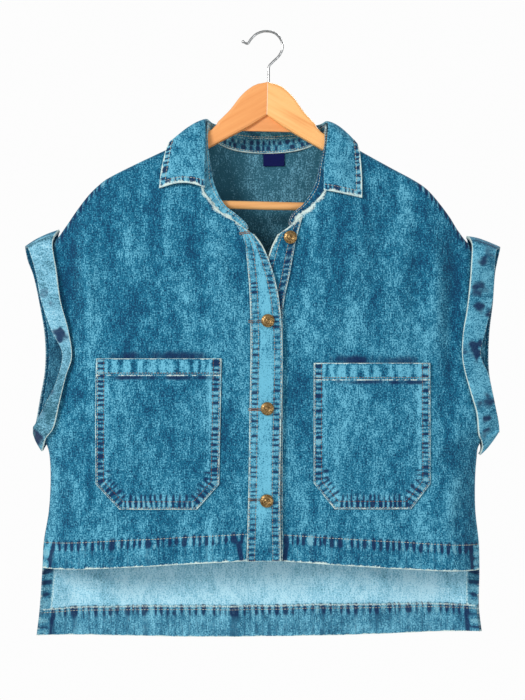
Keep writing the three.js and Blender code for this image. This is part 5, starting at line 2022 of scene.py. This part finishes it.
@dataclass
class Band(Assembly):
    """A turned-up sleeve band: two layers with a fold outside and a free edge towards the body."""

    side: Side
    flat: tuple[float, float] = (0.55, 0.03)
    area: float = 0.012
    tone: float = 0.0
    wrong: float = 1.0
    low_dark: float = 0.0
    blots: tuple[tuple[float, float, float, float], ...] = ()
    fine: int = 20

    def place(self, row: tuple[float, ...], out: float, z: float, lift: float) -> tuple[float, float, float]:
        """A point of the fold or the free edge.

        Args:
            row: the band's row, for its face and depth.
            out: distance from the middle.
            z: height.
            lift: distance from the cloth, where it lies on a face.

        Returns:
            The point.
        """
        side, y = row[0], row[1]
        x = self.side.value * out
        if side == 0:
            return (x, y, z)
        face = Face.FRONT if side < 0 else Face.BACK
        return (x, float(cloth_y(face, np.array(x), np.array(z))) + side * lift, z)

    def build(self) -> None:
        """Makes the band."""
        rows = BAND_ROWS[self.side]
        fold = smooth_path(np.array([self.place(r, r[2], r[3], FOLD_LIFT) for r in rows]), self.fine, True)
        free = smooth_path(np.array([self.place(r, r[4], r[5], FREE_LIFT) for r in rows]), self.fine, True)
        shares = refine((0, 0.03, 0.3, 0.7, 0.97, 1), 28, 1.5)
        across = free - fold
        ahead = np.roll(fold, -1, axis=0) - np.roll(fold, 1, axis=0)
        out = np.cross(ahead, across)
        out *= self.side.value / np.linalg.norm(out, axis=1, keepdims=True)
        part = shares[:, None, None]
        grid = fold[None] + across[None] * part + out[None] * BAND_BOW * np.sin(np.pi * part)
        length = arc_lengths(fold)[None, :] * np.ones((len(shares), 1))
        wide = np.linalg.norm(across, axis=1)[None, :] * shares[:, None]
        whole = np.linalg.norm(across, axis=1)[None, :]
        x, y, z = grid[..., 0], grid[..., 1], grid[..., 2]
        seed = 120 if self.side is Side.RIGHT else 130
        relief = 0.5 * noise(length / 16, wide / 14, seed)
        grid = grid + out[None] * relief[..., None]
        ink = np.zeros_like(x)
        front = y < middle_y(x, z)
        wx = x + 4.5 * noise(x / 6, z / 6, seed + 5)
        wz = z + 5.5 * noise(x / 7, z / 7, seed + 6)
        for bx, bz, radius, strength in self.blots:
            far = np.hypot((wx - bx) / radius, (wz - bz) / (radius * 1.15))
            ink = np.maximum(ink, strength * hill(far, 1) * front)
        ink = np.maximum(ink, 0.5 * ease(noise(length / 26, wide / 20, seed + 2) * 2 - 1.1) * (1 - front))
        fray = np.maximum(0.9 * hill(whole - wide, 0.9), 0.45 * hill(wide, 1.6))
        tone = self.tone + 0.3 * noise(length / 22, wide / 16, seed + 1)
        tone -= self.low_dark * ease((-372 - z) / 25) * (0.6 + 0.6 * noise(x / 11, z / 19, seed + 8))
        high = ease((z + 264) / 12)
        # Painted shade in the hollow between the band's front and back halves at the top; the back half there
        # also takes the body's right-side colour and is darker.
        behind = ease((y + 7) / 5) * high
        hollow_shade = hill(y + 9, 2.2) * high
        tone = tone - 0.5 * behind - 1.6 * hollow_shade
        wrong = self.wrong * (1 - 0.9 * behind)
        shell = Shell(
            f"cuff_{self.side.label}_cloth",
            grid,
            BAND_WALL,
            outward=self.side.value,
            closed=True,
            marks={"wear": fray, "ink": ink, "tone": tone, "wrong": wrong},
            # The band's inner face, in the sleeve's opening, is darker: painted shade.
            inner_marks={"wrong": 0.0, "tone": -0.7, "ink": 0.0},
            weave=np.stack([length, wide], axis=2),
        )
        name = self.side.label
        sizes = (self.flat, [f"front_{name}"], self.area)
        shell.hang(self.wardrobe.denim, "denim_wrong_side", f"cuff_{name}", *sizes)


@dataclass
class NeckLabel(Assembly):
    """A bare woven label inside the back neck."""

    x: float = 9.8
    width: float = 24.5
    top: float = -135.5
    height: float = 14.0
    wall: float = 0.8

    def build(self) -> None:
        """Makes the label, slightly curled at its foot."""
        share = np.linspace(0, 1, 25)
        up = np.linspace(0, 1, 15)
        x = self.x + (share[None, :] - 0.5) * self.width + 0 * up[:, None]
        z = self.top - (1 - up[:, None]) * self.height + 0 * share[None, :]
        y = cloth_y(Face.BACK, x, z) - WALL - 3 * SEAM_GAP - self.wall
        y = y - 0.5 * (1 - up[:, None]) ** 2 * (0.6 + 0.4 * np.cos(5 * share[None, :]))
        shell = Shell("neck_label_cloth", np.stack([x, y, z], axis=2), self.wall, outward=1)
        shell.hang(self.wardrobe.label, "label_cloth", "neck_label", (0.0245, 0.014), ["back_panel"])


@dataclass
class Buttons(Assembly):
    """Shank buttons with a plain rosette, and the stitched buttonholes beside them."""

    radius: float = 7.5
    sides: int = 32
    places: tuple[tuple[str, float, float, Side], ...] = (
        ("button_1", 2.6, -329.3, Side.RIGHT),
        ("button_2", 2.0, -427.5, Side.RIGHT),
        ("button_3", 1.3, -530.2, Side.RIGHT),
        ("button_top", 27.8, -235.9, Side.LEFT),
    )
    # x, z, length and lean of each buttonhole
    holes: tuple[tuple[float, float, float, float], ...] = (
        (-11.5, -330.0, 15.5, 0.02),
        (-11.5, -428.5, 15.5, 0.0),
        (-11.5, -529.0, 15.5, -0.03),
        (-23.4, -231.0, 12.0, 0.12),
    )
    hole_half: float = 1.5
    hole_pitch: float = 0.62
    # the petals' two ends as shares of the radius, the least height of a face, and how they rise
    petals: tuple[float, float] = (0.42, 0.78)
    petal_floor: float = 2.2
    petal_inset: float = 0.1
    petal_rise: float = 0.28
    # share of the radius, and height from the cloth, of each ring
    profile: tuple[tuple[float, float], ...] = (
        (0.4, 0.5),
        (0.9, 0.7),
        (1.0, 1.6),
        (0.97, 2.5),
        (0.88, 2.8),
        (0.8, 2.3),
        (0.72, 2.6),
        (0.5, 3.0),
        (0.36, 2.7),
        (0.28, 3.3),
        (0.1, 3.5),
    )

    def model(self) -> Object:
        """Makes one button, its back at z = 0.

        Returns:
            The button, facing +Z at the origin.
        """
        clear_selection()
        first = self.radius * self.profile[0][0] * MM
        bpy.ops.mesh.primitive_circle_add(vertices=self.sides, radius=first, fill_type="NGON")
        button = bpy.context.object
        edit_all()
        radius, height = self.profile[0]
        bpy.ops.mesh.extrude_region_move(TRANSFORM_OT_translate={"value": (0, 0, height * MM)})
        for share, z in self.profile[1:]:
            bpy.ops.mesh.extrude_region_move(TRANSFORM_OT_translate={"value": (0, 0, (z - height) * MM)})
            bpy.ops.transform.resize(value=(share / radius, share / radius, 1))
            radius, height = share, z
        bpy.ops.object.mode_set(mode="OBJECT")
        self.raise_petals(button)
        edit_all()
        bpy.ops.mesh.normals_make_consistent(inside=False)
        bpy.ops.object.mode_set(mode="OBJECT")
        button.data.shade_smooth()
        return button

    def raise_petals(self, button: Object) -> None:
        """Raises every other face of the rings between rim and boss, as petals.

        Args:
            button: the button, which is the active object.
        """
        mesh = button.data
        mesh.polygons.foreach_set("select", [False] * len(mesh.polygons))
        for polygon in mesh.polygons:
            middle = polygon.center
            share = math.hypot(middle.x, middle.y) / (self.radius * MM)
            turn = math.atan2(middle.y, middle.x) % (2 * math.pi)
            number = int(turn / (2 * math.pi) * self.sides)
            within = self.petals[0] < share < self.petals[1]
            polygon.select = middle.z > self.petal_floor * MM and within and number % 2 == 0
        bpy.ops.object.mode_set(mode="EDIT")
        bpy.ops.mesh.select_mode(type="FACE")
        bpy.ops.mesh.inset(
            thickness=self.petal_inset * MM, depth=self.petal_rise * MM, use_individual=False
        )
        bpy.ops.object.mode_set(mode="OBJECT")

    def sew_holes(self) -> None:
        """Sews the keyhole buttonholes in the upper placket, beside their buttons."""
        sewing = Sewing("stitches_buttonholes")
        for number, (x, z, span, lean) in enumerate(self.holes):
            count = int(span / self.hole_pitch)
            along = np.linspace(-span / 2, span / 2, count)
            for low, high in ((0.15, 1.0), (-1.0, -0.15)):
                across = np.where(np.arange(count) % 2 == 0, low, high) * self.hole_half
                px = x + along * math.cos(lean) - across * math.sin(lean)
                pz = z + along * math.sin(lean) + across * math.cos(lean)
                py = front_y(Side.RIGHT, px, pz) - LAY_GAP - PLACKET_WALL
                path = np.column_stack([px, py, pz])
                leg = float(np.linalg.norm(path[1] - path[0]))
                out = np.tile([0.0, -1.0, 0.0], (count, 1))
                thread = Thread(length=leg * 0.97, gap=leg * 0.03, radius=0.4, rust=0.95)
                sewing.row(path, out, thread, 140 + number)
        sewing.make(self.wardrobe.thread)

    def build(self) -> None:
        """Makes the buttons, each with its own mesh, and the buttonholes."""
        self.sew_holes()
        model = self.model()
        for name, x, z, side in self.places:
            y = float(front_y(side, np.array(x), np.array(z))) - PLACKET_WALL - LAY_GAP - SEAM_GAP
            mesh = model.data.copy()
            move = Matrix.Translation(Vector((x, y, z)) * MM) @ Matrix.Rotation(math.pi / 2, 4, "X")
            mesh.transform(move)
            dress(add_object(f"{name}_metal", mesh), self.wardrobe.brass, "button_metal", name)
        bpy.data.objects.remove(model)


@dataclass
class Hanger(Assembly):
    """The wooden hanger and its wire hook."""

    tilt: float = 0.024
    x: float = 2.5
    top: float = -56.7
    bar_radius: float = 4.7
    bar_half: float = 152.0
    bar_z: float = -198.5
    sweep: float = 0.07
    wire: float = 2.8
    block_half: float = 29.0
    block_top: float = -93.6
    block_low: float = -113.0
    block_thick: float = 4.0
    block_edge: float = 0.4
    bar_edge: float = 0.5
    tip_radius: float = 1.8
    sharp: float = math.radians(40)

    def finish_boards(self) -> None:
        """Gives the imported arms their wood."""
        for side in ("right", "left"):
            for piece in packed_objects(f"hanger_arm_{side}"):
                piece.data.materials.clear()
                piece.data.materials.append(self.wardrobe.wood[side])

    def put_up(self, piece: Object, axis: str, shift: tuple[float, float, float]) -> None:
        """Puts a piece in its place on the tilted hanger, with its sharp edges kept.

        Args:
            piece: the active piece, modelled along Z.
            axis: the axis that a right angle turns it about.
            shift: its place from the hook's foot.
        """
        turn = Matrix.Rotation(math.pi / 2, 4, axis)
        move = Matrix.Translation(Vector(shift) * MM)
        hang = Matrix.Translation(Vector((self.x, 0, self.top)) * MM) @ Matrix.Rotation(self.tilt, 4, "Y")
        piece.data.transform(hang @ move @ turn)
        bpy.ops.object.shade_smooth_by_angle(angle=self.sharp)

    def build_block(self) -> None:
        """Makes the corner block, tucked up against the arms' lower edges."""
        clear_selection()
        bpy.ops.mesh.primitive_cylinder_add(vertices=3, radius=MM, depth=self.block_thick * MM)
        block = bpy.context.object
        block.name = "hanger_block_wood"
        rise = (self.block_top - self.block_low) / 1.5
        edit_all()
        wide = self.block_half / math.sin(math.radians(60))
        bpy.ops.transform.resize(value=(wide, rise, 1), center_override=(0, 0, 0))
        bpy.ops.mesh.bevel(offset=self.block_edge * MM, segments=2, affect="EDGES", clamp_overlap=True)
        bpy.ops.object.mode_set(mode="OBJECT")
        self.put_up(block, "X", (0, 0, self.block_top - self.top - rise))
        dress(block, self.wardrobe.wood["block"], "hanger_wood", "hanger_block")

    def build_bar(self) -> None:
        """Makes the round bar with eased ends."""
        clear_selection()
        bpy.ops.mesh.primitive_cylinder_add(
            vertices=40, radius=self.bar_radius * MM, depth=2 * self.bar_half * MM
        )
        bar = bpy.context.object
        bar.name = "hanger_bar_wood"
        edit_all()
        bpy.ops.mesh.bevel(offset=self.bar_edge * MM, segments=2, affect="EDGES", clamp_overlap=True)
        bpy.ops.object.mode_set(mode="OBJECT")
        self.put_up(bar, "Y", (0, -self.sweep * self.bar_half, self.bar_z - self.top))
        dress(bar, self.wardrobe.wood["bar"], "hanger_wood", "hanger_bar")

    def build_hook(self) -> None:
        """Makes the hook's round wire with a small ball at its tip."""
        route = np.array([(x, 0, z) for x, z in HOOK_ROUTE], float)
        points = smooth_path(route, 8) * MM
        curve = bpy.data.curves.new("hanger_hook_wire", "CURVE")
        curve.dimensions = "3D"
        curve.bevel_depth = self.wire / 2 * MM
        curve.bevel_resolution = 4
        curve.use_fill_caps = True
        spline = curve.splines.new("POLY")
        spline.points.add(len(points) - 1)
        for point, place in zip(spline.points, points):
            point.co = (*place, 1)
        wire = add_object("hanger_hook_wire", curve)
        clear_selection()
        wire.select_set(True)
        bpy.context.view_layer.objects.active = wire
        bpy.ops.object.convert(target="MESH")
        wire = bpy.context.object
        wire.data.shade_smooth()
        tip = Vector(points[-1])
        bpy.ops.object.mode_set(mode="EDIT")
        bpy.ops.mesh.select_all(action="DESELECT")
        ball = self.tip_radius * MM
        bpy.ops.mesh.primitive_uv_sphere_add(segments=16, ring_count=10, radius=ball, location=tip)
        bpy.ops.object.mode_set(mode="OBJECT")
        wire.data.shade_smooth()
        dress(wire, self.wardrobe.chrome, "hook_wire", "hanger_hook")

    def build(self) -> None:
        """Makes or finishes every piece of the hanger."""
        self.finish_boards()
        self.build_block()
        self.build_bar()
        self.build_hook()


def packed_objects(name: str) -> list[Object]:
    """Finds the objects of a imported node.

    Args:
        name: the node's name.

    Returns:
        Its objects.
    """
    found = [o for o in bpy.context.scene.objects if o.name == name or o.name.startswith(name + ".")]
    if not found:
        LOG.warning("no object for node %s", name)
    return found


@dataclass
class Studio:
    """The floor, the light and the camera at the photograph's angle.

    The camera's numbers are millimetres, the floor's are metres.
    """

    camera_x: float = -3.4
    camera_z: float = -362.0
    distance: float = 1800.0
    height: float = 798.0
    sensor: float = 36.0
    floor_z: float = -1.2
    floor_radius: float = 1.1
    floor_thick: float = 0.02
    floor_edge: float = 0.006
    seen_white: tuple[float, float, float, float] = (0.98, 0.98, 0.98, 1)
    around_white: tuple[float, float, float, float] = (0.95, 0.98, 1.0, 1)
    around_strength: float = 0.5
    target: tuple[float, float, float] = (0, 0, -0.38)

    def set_colours(self) -> None:
        """Shows colours as they are, as a plain photograph does."""
        bpy.context.scene.view_settings.view_transform = "Standard"

    def build_floor(self) -> None:
        """Makes a pale floor with a rounded rim."""
        clear_selection()
        bpy.ops.mesh.primitive_cylinder_add(vertices=96, radius=self.floor_radius, depth=self.floor_thick)
        floor = bpy.context.object
        floor.name = "floor"
        edit_all()
        bpy.ops.mesh.bevel(offset=self.floor_edge, segments=3, affect="EDGES")
        bpy.ops.object.mode_set(mode="OBJECT")
        floor.data.transform(Matrix.Translation((0, 0, self.floor_z - self.floor_thick / 2)))
        floor.data.materials.append(FloorFinish().make())

    def build_light(self) -> None:
        """Adds a wide soft key light, a fill and an even surround."""
        # name, place, size, energy, colour
        lamps = (
            ("key_light", (-1.6, -2.0, 0.5), 0.8, 50.0, (1.0, 0.99, 0.97)),
            ("fill_light", (1.4, -2.2, -0.6), 1.6, 14.0, (0.95, 0.98, 1.0)),
            ("back_light", (0.8, 2.2, 1.2), 1.4, 50.0, (1.0, 1.0, 1.0)),
        )
        target = Vector(self.target)
        for name, place, size, energy, colour in lamps:
            light = bpy.data.lights.new(name, "AREA")
            light.size = size
            light.energy = energy
            light.color = colour
            lamp = add_object(name, light)
            lamp.location = place
            lamp.rotation_euler = (target - Vector(place)).to_track_quat("-Z", "Y").to_euler()
        world = bpy.data.worlds.new("studio")
        world.use_nodes = True
        tree = world.node_tree
        tree.nodes.clear()
        output = tree.nodes.new("ShaderNodeOutputWorld")
        seen = tree.nodes.new("ShaderNodeBackground")
        seen.inputs[0].default_value = self.seen_white
        around = tree.nodes.new("ShaderNodeBackground")
        around.inputs[0].default_value = self.around_white
        around.inputs[1].default_value = self.around_strength
        path = tree.nodes.new("ShaderNodeLightPath")
        choose = tree.nodes.new("ShaderNodeMixShader")
        tree.links.new(path.outputs["Is Camera Ray"], choose.inputs[0])
        tree.links.new(around.outputs[0], choose.inputs[1])
        tree.links.new(seen.outputs[0], choose.inputs[2])
        tree.links.new(choose.outputs[0], output.inputs[0])
        bpy.context.scene.world = world

    def build_camera(self) -> None:
        """Adds the camera, level and square to the front."""
        data = bpy.data.cameras.new("camera")
        data.sensor_width = self.sensor
        data.lens = self.sensor * self.distance / self.height
        data.clip_start = 0.05
        camera = add_object("camera", data)
        camera.location = Vector((self.camera_x, -self.distance, self.camera_z)) * MM
        camera.rotation_euler = (math.pi / 2, 0, 0)
        bpy.context.scene.camera = camera

    def build(self) -> None:
        """Sets the whole stage."""
        self.set_colours()
        self.build_camera()
        self.build_light()
        self.build_floor()


RIGHT_BLOTS = (
    (-265.8, -264.2, 3.5, 0.7), (-251.0, -298.5, 4.0, 0.65), (-241.4, -312.4, 6.0, 0.65),
    (-230.4, -346.0, 7.0, 1.7), (-243.0, -392.0, 5.0, 0.8), (-246.0, -410.0, 7.0, 0.95),
    (-254.0, -430.0, 8.5, 0.8), (-262.8, -455.5, 3.0, 1.5), (-257.5, -463.0, 6.0, 1.6),
)
LEFT_BLOTS = (
    (251.4, -257.0, 10.0, 1.0), (239.5, -291.0, 8.0, 1.1), (239.0, -315.0, 7.0, 1.15),
    (252.3, -320.0, 5.0, 1.05), (233.5, -360.0, 8.0, 1.7), (240.6, -353.5, 5.0, 1.5),
    (237.6, -367.0, 6.0, 1.6), (250.3, -416.3, 8.5, 0.9), (240.6, -422.2, 6.0, 0.8),
    (247.4, -438.8, 5.0, 1.0), (248.4, -455.5, 5.0, 0.95),
)


def corners(box: Sequence[Vector]) -> list[list[float]]:
    """A box's corners as plain lists of numbers."""
    return [[float(value) for value in corner] for corner in box]


def main() -> None:
    """Builds the pieces in order."""
    logging.basicConfig(level=logging.INFO, format="%(name)s: %(message)s")
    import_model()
    wardrobe = Wardrobe.make()
    Studio().build()
    assemblies: list[Assembly] = [
        Back(wardrobe),
        Front(wardrobe, Side.RIGHT),
        Front(wardrobe, Side.LEFT),
        Placket(wardrobe, Side.LEFT, UNDER_PLACKET, (0.034, 0.387)),
        Placket(wardrobe, Side.RIGHT, UPPER_PLACKET, (0.037, 0.382)),
        Pocket(wardrobe, Side.RIGHT, (0.141, 0.169), 0.0229),
        Pocket(wardrobe, Side.LEFT, (0.131, 0.163), 0.0208),
        Collar(wardrobe),
        Band(wardrobe, Side.RIGHT, blots=RIGHT_BLOTS, tone=-0.05, wrong=0.8, low_dark=1.3),
        Band(wardrobe, Side.LEFT, area=0.0135, blots=LEFT_BLOTS, tone=0.7, wrong=0.05),
        NeckLabel(wardrobe),
        Buttons(wardrobe),
        Hanger(wardrobe),
    ]
    for assembly in assemblies:
        assembly.build()


if __name__ == "__main__":
    main()
